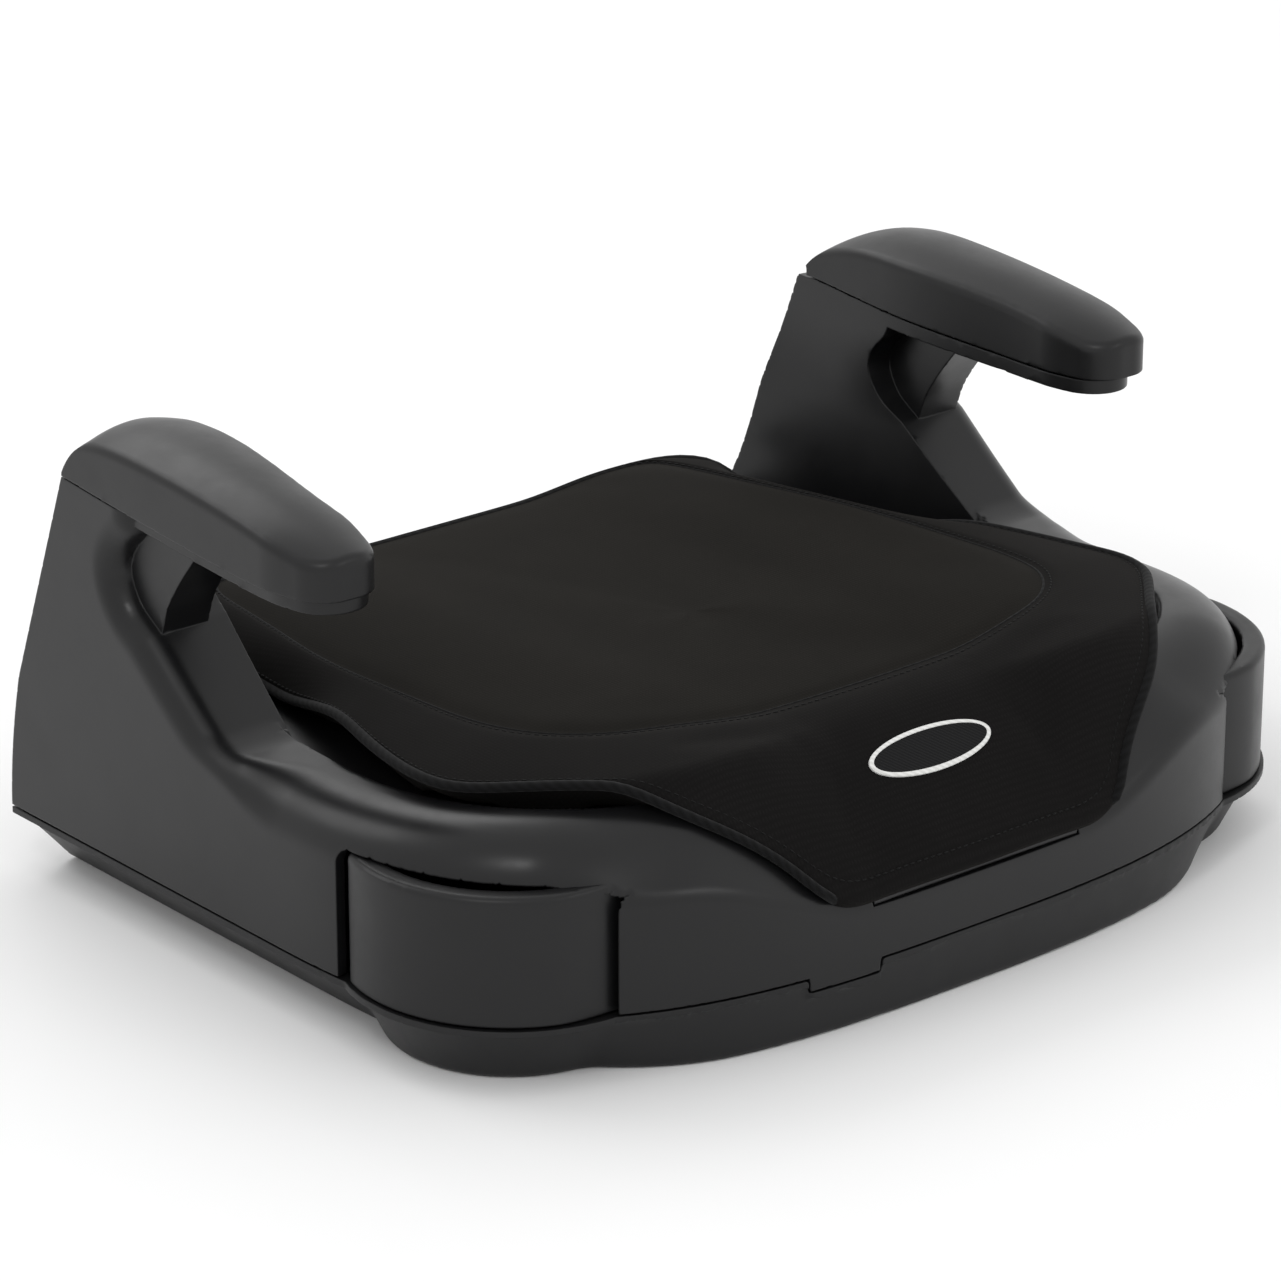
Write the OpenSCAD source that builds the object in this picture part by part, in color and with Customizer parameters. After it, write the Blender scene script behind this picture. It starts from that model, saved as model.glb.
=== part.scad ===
// Backless booster seat with hideaway cup holders.
// +Z is up, the child faces -Y, and left and right are as seen by someone facing the seat.
// The origin is on the surface that the seat stands on, under the middle of the seat.

/* [Overall] */
// Width across the side walls
seat_w = 440; // [420:2:460]
// Most forward point of the plastic shells
front_y = -170; // [-178:1:-164]
// Rear corner of the side walls
rear_y = 165; // [160:1:170]
// Height of the joint line between the two shells
parting_z = 27; // [25:1:29]
// Wall thickness of the moulded shells
wall = 3; // [2.5:0.1:3.5]

/* [Upper shell] */
// Exponent of the rounded front in plan
front_power = 3; // [2.6:0.1:3.4]
// Where the straight sides turn into the rounded front
front_centre_y = -15.5; // [-20:0.5:-10]
// Top of the upright wall at the sides
side_wall_z = 73; // [70:1:76]
// Top of the upright wall at the middle of the front
front_wall_z = 51; // [48:1:53]
// Height of the rolled rim beside the seat
side_crest_z = 93; // [91:1:95]
// Height of the rolled rim at the front corners
corner_crest_z = 98; // [96:1:99]
// Deck height under the front of the cushion
deck_z = 86; // [85:0.5:87]
// Fall of the deck per millimetre towards the rear
deck_fall = 0.03; // [0.02:0.005:0.035]

/* [Arms] */
// Thickness of the web that stands inside the belt hook
web_t = 26; // [22:1:28]
// Outer face of that web
web_outer_x = 209; // [206:1:211]
// Depth of the beam under the armrest cap
beam_h = 6; // [5:0.5:8]

/* [Armrest caps] */
// Height of the cap's side at its middle
cap_side_h = 24; // [20:1:26]
// Rise of the crowned top above its shoulders
cap_crown = 5; // [3:0.5:6]

/* [Cup holders] */
// Radius of the round outer wall
cup_r = 64.5; // [63:0.5:65]
// Plan position of its centre
cup_centre_x = 156; // [155:0.5:157]
cup_centre_y = -78.4; // [-79:0.2:-78]
// Height of the rim
cup_rim_z = 79.6; // [78:0.2:79.6]
// Wall thickness of the well
cup_wall = 3; // [2.5:0.1:4]
// Width of the rim's lip
cup_lip = 9.5; // [8:0.5:10]
// How far each holder slides out
cup_travel = 85; // [80:1:90]

/* [Cushion] */
// Thickness of the cover's quilted fabric
cover_t = 2.6; // [2:0.1:3]
// Diameter of the edge binding
binding_d = 4; // [3:0.2:5]
// Diameter of the piping round the centre panel
piping_d = 2.4; // [2:0.2:3]

/* [Fasteners] */
// Shank diameter of the shell screws
screw_d = 4; // [3.5:0.5:4]
// Head diameter of the shell screws
screw_head_d = 8; // [7:0.5:8.5]

/* [Hidden] */
$fn = 48;

half_w = seat_w / 2;
// The arms' outer faces stand this far proud of the side walls.
arm_proud = 0.6;
skin_w = half_w - arm_proud;
front_depth = front_centre_y - front_y;
gap = 0.4;
plastic = "#3b3b3d";
plastic_light = "#4a4a4c";
fabric_dark = "#262324";
fabric_warm = "#2e2c28";

function lerp(a, b, t) = a + (b - a) * t;
function clamp01(t) = min(1, max(0, t));
function smooth(t) = let (c = clamp01(t)) c * c * (3 - 2 * c);
function deck_at(y) = deck_z - deck_fall * (y + 50);

// ---------------------------------------------------------------- lofting helper

// Triangles that close a ring of n points from its first and last point inwards.
function zip_cap(n, first) = [for (i = [0 : floor(n / 2) - 1]) each concat(
    i + 1 < n - 1 - i ? [[first + i, first + i + 1, first + n - 1 - i]] : [],
    i + 1 < n - 2 - i ? [[first + i + 1, first + n - 2 - i, first + n - 1 - i]] : [])];
function turned(faces) = [for (f = faces) [f[0], f[2], f[1]]];

// Closed loft through rings of equal length, anticlockwise seen from the last ring.
module loft(rings) {
    n = len(rings[0]);
    last = (len(rings) - 1) * n;
    sides = [for (j = [0 : len(rings) - 2], i = [0 : n - 1])
        let (a = j * n + i, b = j * n + (i + 1) % n)
        each [[a, b + n, b], [a, a + n, b + n]]];
    polyhedron(points = [for (r = rings) each r],
        faces = concat(zip_cap(n, 0), sides, turned(zip_cap(n, last))), convexity = 10);
}

// Both hands of a piece that is drawn for the +X side.
module both_sides() {
    children();
    mirror([1, 0, 0]) children();
}

// ---------------------------------------------------------------- plan of the shells

side_steps = 6;
front_steps = 44;
rear_steps = 6;
rear_shares = [0, 0.1, 0.3, 0.5, 0.7, 0.9, 0.985];
// The rear wall bows out behind the seat, and leans forward as it rises.
rear_bow = 7.2;
rear_lean = 9;
rear_bow_gain = 0.55;

// Distance from the centre of the rounded front to its outline, at angle a from the left.
function front_reach(a, ix, iy) =
    pow(pow(abs(cos(a)) / (skin_w - ix), front_power)
        + pow(abs(sin(a)) / (front_depth - iy), front_power), -1 / front_power);

// How much a place on the outline belongs to the sloping front, 0 at the sides to 1 in front.
function frontness(a) = smooth((min(a, 180 - a) - 44) / 26);

// How far the round roll of the sides has turned into the straight slope of the front.
function slope_share(a) = smooth((min(a, 180 - a) - 30) / 16);

// Angle of each point of a ring: the sides count as 0 and the rear as -1.
ring_angles = concat([for (k = [0 : side_steps - 1]) 0],
    [for (k = [0 : front_steps]) k * 180 / front_steps],
    [for (k = [0 : side_steps - 1]) 0],
    [0], [for (k = [2 : rear_steps]) -1], [0]);

// One point of a ring: side inset ix, front inset iy, rear inset ir.
function ring_xy(k, ix, iy, ir) =
    let (rear = rear_y - ir, right = side_steps + front_steps + 1, back = right + side_steps)
    k < side_steps ? [-(skin_w - ix), lerp(rear, front_centre_y, k / side_steps)]
    : k < right ? let (a = ring_angles[k], r = front_reach(a, ix, iy))
        [-r * cos(a), front_centre_y - r * sin(a)]
    : k < back ? [skin_w - ix, lerp(front_centre_y, rear, (k - right + 1) / side_steps * 0.98)]
    : let (t = rear_shares[k - back])
        [lerp(skin_w - ix, -(skin_w - ix), t),
            rear + (rear_bow + ir * rear_bow_gain) * (1 - pow(2 * t - 1, 4))];

ring_n = len(ring_angles);

// Profile of the outer skin at a place on the outline.
function wall_top(k) = ring_angles[k] < 0 ? deck_at(rear_y) - 3
    : lerp(side_wall_z, front_wall_z, frontness(ring_angles[k]));
function crest_z(k) = ring_angles[k] < 0 ? deck_at(rear_y)
    : lerp(side_crest_z, corner_crest_z, smooth(ring_angles[k] == 0 ? 0
        : min(ring_angles[k], 180 - ring_angles[k]) / 30));
function crest_inset(k) = lerp(27, 46, frontness(max(0, ring_angles[k])));
function lean_at(z) = rear_lean * pow(clamp01((z - parting_z) / (deck_z - parting_z)), 1.7);

// A point of the rolled rim: t runs from 0 on the wall to 1 on the crest.
function rim_point(k, t, skin) =
    let (f = slope_share(max(0, ring_angles[k])),
        inset = crest_inset(k) * lerp(1 - cos(90 * t), t, f) + skin,
        z = lerp(wall_top(k), crest_z(k), lerp(sin(90 * t), t, f)) - skin,
        p = ring_xy(k, inset, inset, lean_at(z) + skin))
    [p[0], p[1], z];

function flat_ring(inset, z) = [for (k = [0 : ring_n - 1])
    let (p = ring_xy(k, inset, inset, inset)) [p[0], p[1], z]];

function deck_ring(extra, drop) = [for (k = [0 : ring_n - 1])
    let (i = crest_inset(k) + extra, p = ring_xy(k, i, i, rear_lean + extra))
    [p[0], p[1], deck_at(p[1]) - drop]];

// ---------------------------------------------------------------- upper shell

module shell_skin() {
    loft(concat([flat_ring(0, parting_z + gap)],
        [for (t = [0, 0.25, 0.5, 0.75, 1])
            [for (k = [0 : ring_n - 1]) rim_point(k, t, 0)]],
        [deck_ring(5, 0)]));
}

module shell_void() {
    loft([flat_ring(wall, parting_z - 5),
        [for (k = [0 : ring_n - 1])
            let (z = wall_top(k) - wall - 1, p = ring_xy(k, wall, wall, wall + lean_at(z))) [p[0], p[1], z]],
        deck_ring(4, wall)]);
}

// Side profile of the arm, as [y, z].
arm_rear = [[163.2, 31], [161, 57], [155, 80], [144.5, 109], [129, 143], [115, cap_joint(115)]];
arm_top = [for (y = [100, 86, 72, 60]) [y, cap_joint(y)]];
hook_edge = [[76, 167], [89, 157], [92, 147], [83, 134], [72, 129]];
post_face = [[48, 111], [23, 92], [12, 85], [-4, 82]];
web_front = [[72, 129], [67, 140], [59, 153], [50, 163]];
beam_tip_y = -30;

// Plane of the arm's inner face, x as a function of y and z.
inner_face_x = 178;
inner_face_y = -0.15;
inner_face_z = 0.08;

module inner_face_cut(skin) {
    x0 = inner_face_x + skin;
    polyhedron(points = [for (z = [0, 220], p = [[1, -60], [1, 200], [0, 200], [0, -60]])
            [p[0] == 1 ? x0 + inner_face_y * p[1] + inner_face_z * z : 40, p[1], z]],
        faces = [[0, 1, 2, 3], [7, 6, 5, 4], [0, 4, 5, 1], [1, 5, 6, 2], [2, 6, 7, 3], [3, 7, 4, 0]]);
}

module side_profile(points, x_from, x_to) {
    translate([x_from, 0, 0]) rotate([90, 0, 90])
        linear_extrude(x_to - x_from) polygon(points);
}

module arm_block() {
    difference() {
        side_profile(concat(arm_rear, arm_top, hook_edge, post_face, [[-4, 31]]), 140, half_w);
        inner_face_cut(0);
    }
}

module arm_hollow() {
    difference() {
        side_profile([[162, 20], [159, 56], [153, 79], [141.5, 108], [125.5, 142], [113, 174],
            [88, 174], [77, 171], [93, 158], [96, 147], [87, 132], [48, 107], [22, 88],
            [0, 79], [0, 20]], 130, half_w - wall);
        inner_face_cut(wall);
    }
}

module arm_web() {
    side_profile(concat([[100, 150], [86, cap_joint(86)], [60, cap_joint(60)], [50, cap_joint(50)]],
        [for (k = [3 : -1 : 0]) web_front[k]], [[90, 125]]), web_outer_x - web_t, web_outer_x);
}

module arm_beam() {
    side_profile(concat([for (y = [62, 40, 20, 0, beam_tip_y]) [y, cap_joint(y)]],
        [for (y = [beam_tip_y, 0, 20, 40]) [y, cap_joint(y) - beam_h]], [[62, 160]]), 182, 214);
}

// The bay through the side wall that a cup holder slides through.
bay_front_y = -144.6;
bay_rear_y = -51.4;
bay_top_z = 80.6;

module cup_bay() {
    translate([70, bay_front_y, parting_z - 3])
        cube([180, bay_rear_y - bay_front_y, bay_top_z - parting_z + 3]);
}

// Screw places of the shells, as [x, y].
screw_places = [[58, -98], [58, 22], [58, 132], [142, 118]];
boss_d = 10;
shank_d = screw_d - 0.6;
pilot_d = shank_d + 0.1;

module shell_bosses() {
    for (p = screw_places)
        translate([p[0], p[1], 10]) cylinder(h = deck_at(p[1]) - 11, d = boss_d);
}

module boss_pilots() {
    for (p = screw_places)
        translate([p[0], p[1], 9]) cylinder(h = 30, d = pilot_d);
}

// Slot in the front wall that the flap tucks into.
slot_w = 108;
slot_z = 52;
slot_h = 2.4;

module flap_slot() {
    translate([-slot_w / 2, front_y - 3, slot_z - slot_h])
        cube([slot_w, 14, slot_h]);
}

module upper_shell() {
    color(plastic) difference() {
        union() {
            difference() {
                union() {
                    shell_skin();
                    both_sides() arm_block();
                }
                shell_void();
                both_sides() arm_hollow();
            }
            both_sides() {
                arm_web();
                arm_beam();
                shell_bosses();
            }
        }
        both_sides() {
            cup_bay();
            boss_pilots();
            cap_screw_holes();
        }
        flap_slot();
    }
}

// ---------------------------------------------------------------- base shell

base_side_inset = 24;
base_front_inset = 8;
base_rear_inset = 9;
lip_h = 2.6;
base_wall = 2.6;
shelf_r = 66;
shelf_foot_r = 54;

function base_ring(t, skin, z) = [for (k = [0 : ring_n - 1])
    let (p = ring_xy(k, lerp(0, base_side_inset, t) + skin,
            lerp(0, base_front_inset, t) + skin, lerp(0, base_rear_inset, t) + skin))
    [p[0], p[1], z]];

module base_skin() {
    loft([base_ring(1, 2, 0), base_ring(1, 0, 2.5), base_ring(0.12, 0, parting_z - lip_h),
        base_ring(0, 0, parting_z - lip_h + 0.2), base_ring(0, 0, parting_z)]);
}

module base_void() {
    loft([base_ring(1, 5.5, base_wall), base_ring(1, 3.5, base_wall + 3),
        base_ring(0.12, base_wall, parting_z - lip_h - 2), base_ring(0, base_wall + 1.5, parting_z + 5)]);
}

// Rounded shelf that follows the cup holder, and the wall under it.
module cup_shelf() {
    translate([cup_centre_x, cup_centre_y, 0]) {
        translate([0, 0, 1]) cylinder(h = parting_z - lip_h - 0.8, r1 = shelf_foot_r, r2 = shelf_r - 2);
        translate([0, 0, parting_z - lip_h]) cylinder(h = lip_h, r = shelf_r);
    }
}

module shelf_hollow() {
    translate([cup_centre_x, cup_centre_y, base_wall + 1])
        cylinder(h = 40, r1 = shelf_foot_r - base_wall, r2 = shelf_r + 3);
}

// Each runner as [inner end, y, outer end].
runners = [[74, -126, 138], [74, -68, 180]];
runner_t = 2.5;

// Two ribs that carry each cup holder, and the screw posts.
module base_ribs() {
    for (r = runners)
        translate([r[0], r[1] - runner_t / 2, 1]) cube([r[2] - r[0], runner_t, parting_z - 1]);
    for (p = screw_places)
        translate([p[0], p[1], 1]) cylinder(h = 9 - gap - 1, d = boss_d + 4);
}

module base_screw_holes() {
    for (p = screw_places) translate([p[0], p[1], -1]) {
        cylinder(h = 12, d = screw_d + 0.6);
        cylinder(h = 1 + 4, d = screw_head_d + 1.4);
    }
}

module base_shell() {
    color(plastic_light) difference() {
        union() {
            difference() {
                union() {
                    base_skin();
                    both_sides() cup_shelf();
                }
                base_void();
                both_sides() shelf_hollow();
            }
            both_sides() base_ribs();
        }
        both_sides() base_screw_holes();
    }
}

// ---------------------------------------------------------------- armrest caps

cap_rear_y = 115;
cap_tip_y = -42;
cap_steps = 16;

// Outer and inner edge, joint height and side height of the cap at a place along it.
function cap_outer(y) = 220 - 4 * smooth((-10 - y) / 30);
function cap_inner(y) = 172 + 8 * smooth((80 - y) / 90) + 4 * smooth((-10 - y) / 30);
function cap_joint(y) = 171.3 + 9 * pow(clamp01((y + 5) / 125), 1.3);
function cap_side(y) = cap_side_h - 7.5 * smooth((30 - y) / 75) - 4 * smooth((y - 60) / 60);
cap_tip_len = 16;
cap_tip_in = 12;
function cap_round(y) = let (t = clamp01((cap_tip_y + cap_tip_len - y) / cap_tip_len))
    cap_tip_in * (1 - sqrt(1 - t * t));

// Section of the cap across X and Z, with y sheared so that the rear end slants.
function cap_section(y) =
    let (r = cap_round(y), a = cap_inner(y) + r, b = cap_outer(y) - r, w = b - a,
        z1 = cap_joint(y) + cap_side(y) - r * 0.35,
        profile = [[0, 0, 0], [0, 0, -6], [0.06, 0, -1.5], [0.16, 0.5, 0], [0.35, 0.9, 0], [0.5, 1, 0],
            [0.65, 0.9, 0], [0.84, 0.5, 0], [0.94, 0, -1.5], [1, 0, -6], [1, 0, 0]])
    [for (i = [0 : len(profile) - 1])
        let (p = profile[i], x = a + w * p[0], yy = y + cap_slant(x, y),
            z = (i == 0 || i == len(profile) - 1) ? cap_joint(yy) + gap : z1 + cap_crown * p[1] + p[2])
        [x, yy, z]];
function cap_slant(x, y) = (214 - x) * 0.2 * smooth((y - 40) / 80);

module armrest_cap() {
    ys = concat([for (k = [0 : 6]) cap_tip_y + cap_tip_len * (1 - cos(15 * k))],
        [for (k = [1 : cap_steps]) lerp(cap_tip_y + cap_tip_len, cap_rear_y, k / cap_steps)]);
    loft([for (y = ys) cap_section(y)]);
}

module left_armrest_cap() {
    color(plastic) mirror([1, 0, 0]) difference() {
        armrest_cap();
        cap_screw_pilots();
    }
}

module right_armrest_cap() {
    color(plastic) difference() {
        armrest_cap();
        cap_screw_pilots();
    }
}

// Screws that come up through the beam into the cap, as [x, y].
cap_screw_places = [[198, -12], [198, 30]];
cap_screw_d = 3.5;
cap_screw_head_h = 2.2;
cap_screw_len = 16;

// Height of the beam's underside where a screw goes through it.
function screw_seat_z(y) = cap_joint(y) - beam_h - 0.5;

module cap_screw_holes() {
    for (p = cap_screw_places)
        translate([p[0], p[1], 150]) cylinder(h = 40, d = cap_screw_d + 0.6);
}

module cap_screw_pilots() {
    for (p = cap_screw_places)
        translate([p[0], p[1], 160])
            cylinder(h = screw_seat_z(p[1]) + cap_screw_len + 0.5 - 160, d = cap_screw_d + 0.1);
}

module armrest_screws() {
    for (p = cap_screw_places)
        translate([p[0], p[1], screw_seat_z(p[1])]) {
            cylinder(h = cap_screw_len, d = cap_screw_d);
            translate([0, 0, -cap_screw_head_h]) cylinder(h = cap_screw_head_h, d = 6.5);
        }
}

module left_armrest_screws() { color("silver") mirror([1, 0, 0]) armrest_screws(); }
module right_armrest_screws() { color("silver") armrest_screws(); }

// ---------------------------------------------------------------- cup holders

cup_front_y = bay_front_y + 2.6;
cup_back_y = bay_rear_y - 2.6;
cup_floor_z = parting_z + 1;
cup_inner_x = 136;
cup_tail_x = 92;
cup_tail_h = 12;

// Plan of a cup holder: a round outer end between two straight sides.
module cup_plan(skin, inner_x) {
    intersection() {
        translate([cup_centre_x, cup_centre_y]) circle(r = cup_r - skin, $fn = 96);
        translate([inner_x, cup_front_y + skin])
            square([100, cup_back_y - cup_front_y - 2 * skin]);
    }
}

module cup_holder() {
    difference() {
        union() {
            translate([0, 0, cup_floor_z])
                linear_extrude(cup_rim_z - cup_floor_z) cup_plan(0, cup_inner_x);
            translate([cup_tail_x, cup_front_y, cup_floor_z])
                cube([cup_inner_x - cup_tail_x + 2, cup_back_y - cup_front_y, cup_tail_h]);
        }
        translate([0, 0, cup_floor_z + cup_wall])
            linear_extrude(60) cup_plan(cup_lip, cup_inner_x + cup_wall);
        translate([0, 0, cup_floor_z - 1])
            linear_extrude(cup_rim_z - cup_floor_z - 5) difference() {
                cup_plan(cup_wall, 100);
                cup_plan(cup_lip - cup_wall, cup_inner_x);
                translate([60, -200]) square([cup_inner_x - 60, 200]);
            }
        translate([cup_tail_x + 6, cup_front_y + 6, cup_floor_z - 1])
            cube([cup_inner_x - cup_tail_x - 12, cup_back_y - cup_front_y - 12, cup_tail_h + 2]);
    }
}

module left_cup_holder() { color(plastic_light) mirror([1, 0, 0]) cup_holder(); }
module right_cup_holder() { color(plastic_light) cup_holder(); }

// ---------------------------------------------------------------- cushion

pad_rear_y = 170;
pad_front_y = -118;

// Height of the cushion's top along the middle, and over the whole seat.
function pad_mid(y) = y > -60 ? lerp(106, 95, (y + 60) / 230) : 106;
function pad_nose(y) = let (d = max(0, -96 - y)) pad_mid(y) - 12 * (d / 30) * (d / 30) * 0.5;
function pad_top(x, y) =
    let (edge = clamp01((abs(x) - 110) / 70), side = smooth((abs(x) - 45) / 50))
    pad_nose(y) + 3.5 * side * (1 - edge * edge * 1.6);

// Half width of the cushion and of its centre panel.
function pad_half(y) = y > 60 ? lerp(151, 140, smooth((y - 90) / 80))
    : y > -40 ? lerp(177, 151, smooth((y + 30) / 85))
    : 177 * pow(1 - pow(clamp01((-40 - y) / 78), 2.6), 1 / 2.6);
function panel_half(y) = y > -30 ? lerp(141, 122, smooth((y - 60) / 110))
    : 141 * pow(1 - pow(clamp01((-30 - y) / 69.9), 3), 1 / 3);

panel_front_y = -99;
foam_front_y = -104;
pad_steps = 16;
across_steps = 10;

// A closed sheet between two heights, as rings across X at each y.
function sheet_ring(y, half, up, down) = concat(
    [for (i = [0 : across_steps]) let (x = lerp(-half, half, i / across_steps))
        [x, y, pad_top(x, y) - down]],
    [for (i = [across_steps : -1 : 0]) let (x = lerp(-half, half, i / across_steps))
        [x, y, pad_top(x, y) - up]]);

module seat_foam() {
    color("#8f8f8a") loft([for (k = [pad_steps : -1 : 0])
        let (y = lerp(foam_front_y, pad_rear_y - 4, k / pad_steps), half = pad_half(y - 8) - 9)
        concat([for (i = [0 : across_steps]) let (x = lerp(-half, half, i / across_steps))
                [x, y, deck_at(y) + 0.3]],
            [for (i = [across_steps : -1 : 0]) let (x = lerp(-half, half, i / across_steps))
                [x, y, pad_top(x, y) - cover_t - 1.3]])]);
}

module cover_centre_panel() {
    color(fabric_warm) loft([for (k = [pad_steps : -1 : 0])
        let (t = k / pad_steps, y = lerp(panel_front_y + 3.5, pad_rear_y, t * t * (2 - t)))
        sheet_ring(y, max(panel_half(y - 2) - piping_d / 2 - 1.2, 30), 0, cover_t)]);
}

function seam_point(a) =
    let (n = 3, c = cos(a), s = sin(a),
        r = pow(pow(abs(c) / 141, n) + pow(abs(s) / 69.9, n), -1 / n))
    [-r * c, -30 - r * s];
function seam_path() = concat(
    [for (k = [0 : 5]) let (y = lerp(pad_rear_y, -30, k / 6)) [-panel_half(y), y]],
    [for (k = [0 : 24]) seam_point(k * 7.5)],
    [for (k = [1 : 6]) let (y = lerp(-30, pad_rear_y, k / 6)) [panel_half(y), y]]);
function pad_corner(a) =
    let (n = 2.6, c = cos(a), s = sin(a),
        r = pow(pow(abs(c) / 177, n) + pow(abs(s) / 78, n), -1 / n))
    [-r * c, -40 - r * s];
function edge_path() = concat(
    [for (k = [0 : 5]) let (y = lerp(pad_rear_y, -40, k / 6)) [-pad_half(y), y]],
    [for (k = [0 : 24]) pad_corner(k * 7.5)],
    [for (k = [1 : 6]) let (y = lerp(-40, pad_rear_y, k / 6)) [pad_half(y), y]]);

seam = seam_path();
edge = edge_path();

function at_top(p, up) = [p[0], p[1], pad_top(p[0], p[1]) + up];
function toward(a, b, d) = let (v = b - a, l = norm(v)) a + v * (d / max(l, 0.01));

module cover_border() {
    color(fabric_dark) loft([for (k = [len(seam) - 1 : -1 : 0])
        let (a = toward(seam[k], edge[k], piping_d / 2 + 0.4), b = toward(edge[k], seam[k], binding_d / 2 + 0.4),
            m = (a + b) / 2)
        [at_top(a, -cover_t), at_top(m, -cover_t), at_top(b, -cover_t),
            at_top(b, 0), at_top(m, 0), at_top(a, 0)]]);
}

// A round cord along a path of [x, y] places that lie on the cushion.
module cord_on_top(path, d, up) {
    sides = 6;
    loft([for (k = [len(path) - 1 : -1 : 0])
        let (before = path[max(k - 1, 0)], after = path[min(k + 1, len(path) - 1)],
            v = after - before, n = [v[1], -v[0]] / norm(v), c = at_top(path[k], up))
        [for (i = [0 : sides - 1]) let (a = 360 * i / sides)
            [c[0] + n[0] * cos(a) * d / 2, c[1] + n[1] * cos(a) * d / 2, c[2] + sin(a) * d / 2]]]);
}

module centre_panel_piping() { color(fabric_dark) cord_on_top(seam, piping_d, -0.6); }
module cover_edge_binding() { color("#1b1a1b") cord_on_top(edge, binding_d, -binding_d / 2); }

// The flap falls from the front of the cushion down the sloping front of the shell.
flap_top_y = -121;
flap_end_y = -171.6;
flap_steps = 8;
flap_t = 2.6;
function flap_half(t) = 72 + 46 * pow(1 - t, 0.8);
// The flap rises at its sides, over the corners of the shell.
function flap_rise(x, t) = 12.5 * smooth((abs(x) - 42) / 45) * smooth(5 * t) * (1 - 0.4 * t);
function flap_z(x, t) = lerp(104.5, slot_z + 2, t) + flap_rise(x, t);

module front_flap() {
    n = 14;
    color(fabric_dark) loft([for (k = [0 : flap_steps])
        let (t = k / flap_steps, y = lerp(flap_top_y, flap_end_y, t), h = flap_half(t))
        concat([for (i = [n : -1 : 0]) let (x = lerp(-h, h, i / n)) [x, y, flap_z(x, t) - flap_t * 1.2]],
            [for (i = [0 : n]) let (x = lerp(-h, h, i / n)) [x, y, flap_z(x, t)]])]);
}

module flap_tuck_strip() {
    color("#2b2b2b") translate([-slot_w / 2 + 1, front_y + 2, slot_z - slot_h + 0.4])
        cube([slot_w - 2, 8, slot_h - 0.8]);
}

label_w = 62;
label_h = 20;
label_t = 0.8;

module woven_label() {
    color("#d9d9d6") translate([0, -140, 86.2]) rotate([45, 0, 0])
        translate([-label_w / 2, -label_h / 2, 0]) cube([label_w, label_h, label_t]);
}

// Elastic loops under the cover, which hold it to the shell.
loop_w = 10;
loop_t = 1.2;
loop_drop = 22;

module elastic_loop() {
    difference() {
        cube([loop_t + 8, loop_w, loop_drop], center = true);
        cube([8 - loop_t, loop_w + 2, loop_drop - 2 * loop_t], center = true);
    }
}

module side_loops() {
    for (y = [58, 94]) translate([146, y, deck_at(y) - wall - loop_drop / 2 - 0.4]) elastic_loop();
}

module left_elastic_loops() { color("#151515") mirror([1, 0, 0]) side_loops(); }
module right_elastic_loops() { color("#151515") side_loops(); }
module rear_elastic_loops() {
    color("#151515") both_sides()
        translate([70, 150, deck_at(150) - wall - loop_drop / 2 - 0.4]) rotate([0, 0, 90]) elastic_loop();
}

module base_screws() {
    color("silver") both_sides() for (p = screw_places) translate([p[0], p[1], 0]) {
        translate([0, 0, 2]) cylinder(h = 26, d = shank_d);
        translate([0, 0, 1.2]) cylinder(h = 2.6, d = screw_head_d);
    }
}

upper_shell();
base_shell();
left_armrest_cap();
right_armrest_cap();
left_armrest_screws();
right_armrest_screws();
left_cup_holder();
right_cup_holder();
seat_foam();
cover_centre_panel();
cover_border();
front_flap();
cover_edge_binding();
centre_panel_piping();
flap_tuck_strip();
woven_label();
left_elastic_loops();
right_elastic_loops();
rear_elastic_loops();
base_screws();
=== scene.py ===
"""Looks of a backless booster seat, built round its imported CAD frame.

Shapes are worked out in millimetres on the frame's own axes and turned to metres when a mesh
is made. +Z is up and the child faces -Y. The hard shells are moulded forms: each is one field,
negative inside the plastic, and its skin is meshed with its edges kept crisp.
"""
import logging
import math
from dataclasses import dataclass
from enum import Enum
from typing import Any, Callable, Sequence

import bmesh
import bpy
import numpy as np
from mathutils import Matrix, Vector
from mathutils.bvhtree import BVHTree


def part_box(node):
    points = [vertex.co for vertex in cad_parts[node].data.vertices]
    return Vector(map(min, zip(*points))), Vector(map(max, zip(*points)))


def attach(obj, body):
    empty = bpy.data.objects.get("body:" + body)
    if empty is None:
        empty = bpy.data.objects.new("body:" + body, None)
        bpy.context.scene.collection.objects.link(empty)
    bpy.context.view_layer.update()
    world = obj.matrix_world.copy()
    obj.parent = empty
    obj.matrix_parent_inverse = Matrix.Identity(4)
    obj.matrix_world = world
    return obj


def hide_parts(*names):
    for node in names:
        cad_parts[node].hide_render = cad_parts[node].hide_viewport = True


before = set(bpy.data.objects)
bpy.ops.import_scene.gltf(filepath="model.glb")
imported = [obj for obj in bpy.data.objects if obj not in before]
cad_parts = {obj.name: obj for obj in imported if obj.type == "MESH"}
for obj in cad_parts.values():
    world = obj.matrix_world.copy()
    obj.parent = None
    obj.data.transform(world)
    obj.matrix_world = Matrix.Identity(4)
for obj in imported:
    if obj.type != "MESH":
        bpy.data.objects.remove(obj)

Array = np.ndarray
Field = Callable[[Array, Array, Array], Array]

MM = 0.001
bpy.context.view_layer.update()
LOG = logging.getLogger("booster_seat")


class Body(Enum):
    """The bodies that pieces ride on."""

    SEAT = "seat"
    LEFT_CUP = "left_cup"
    RIGHT_CUP = "right_cup"


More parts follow.
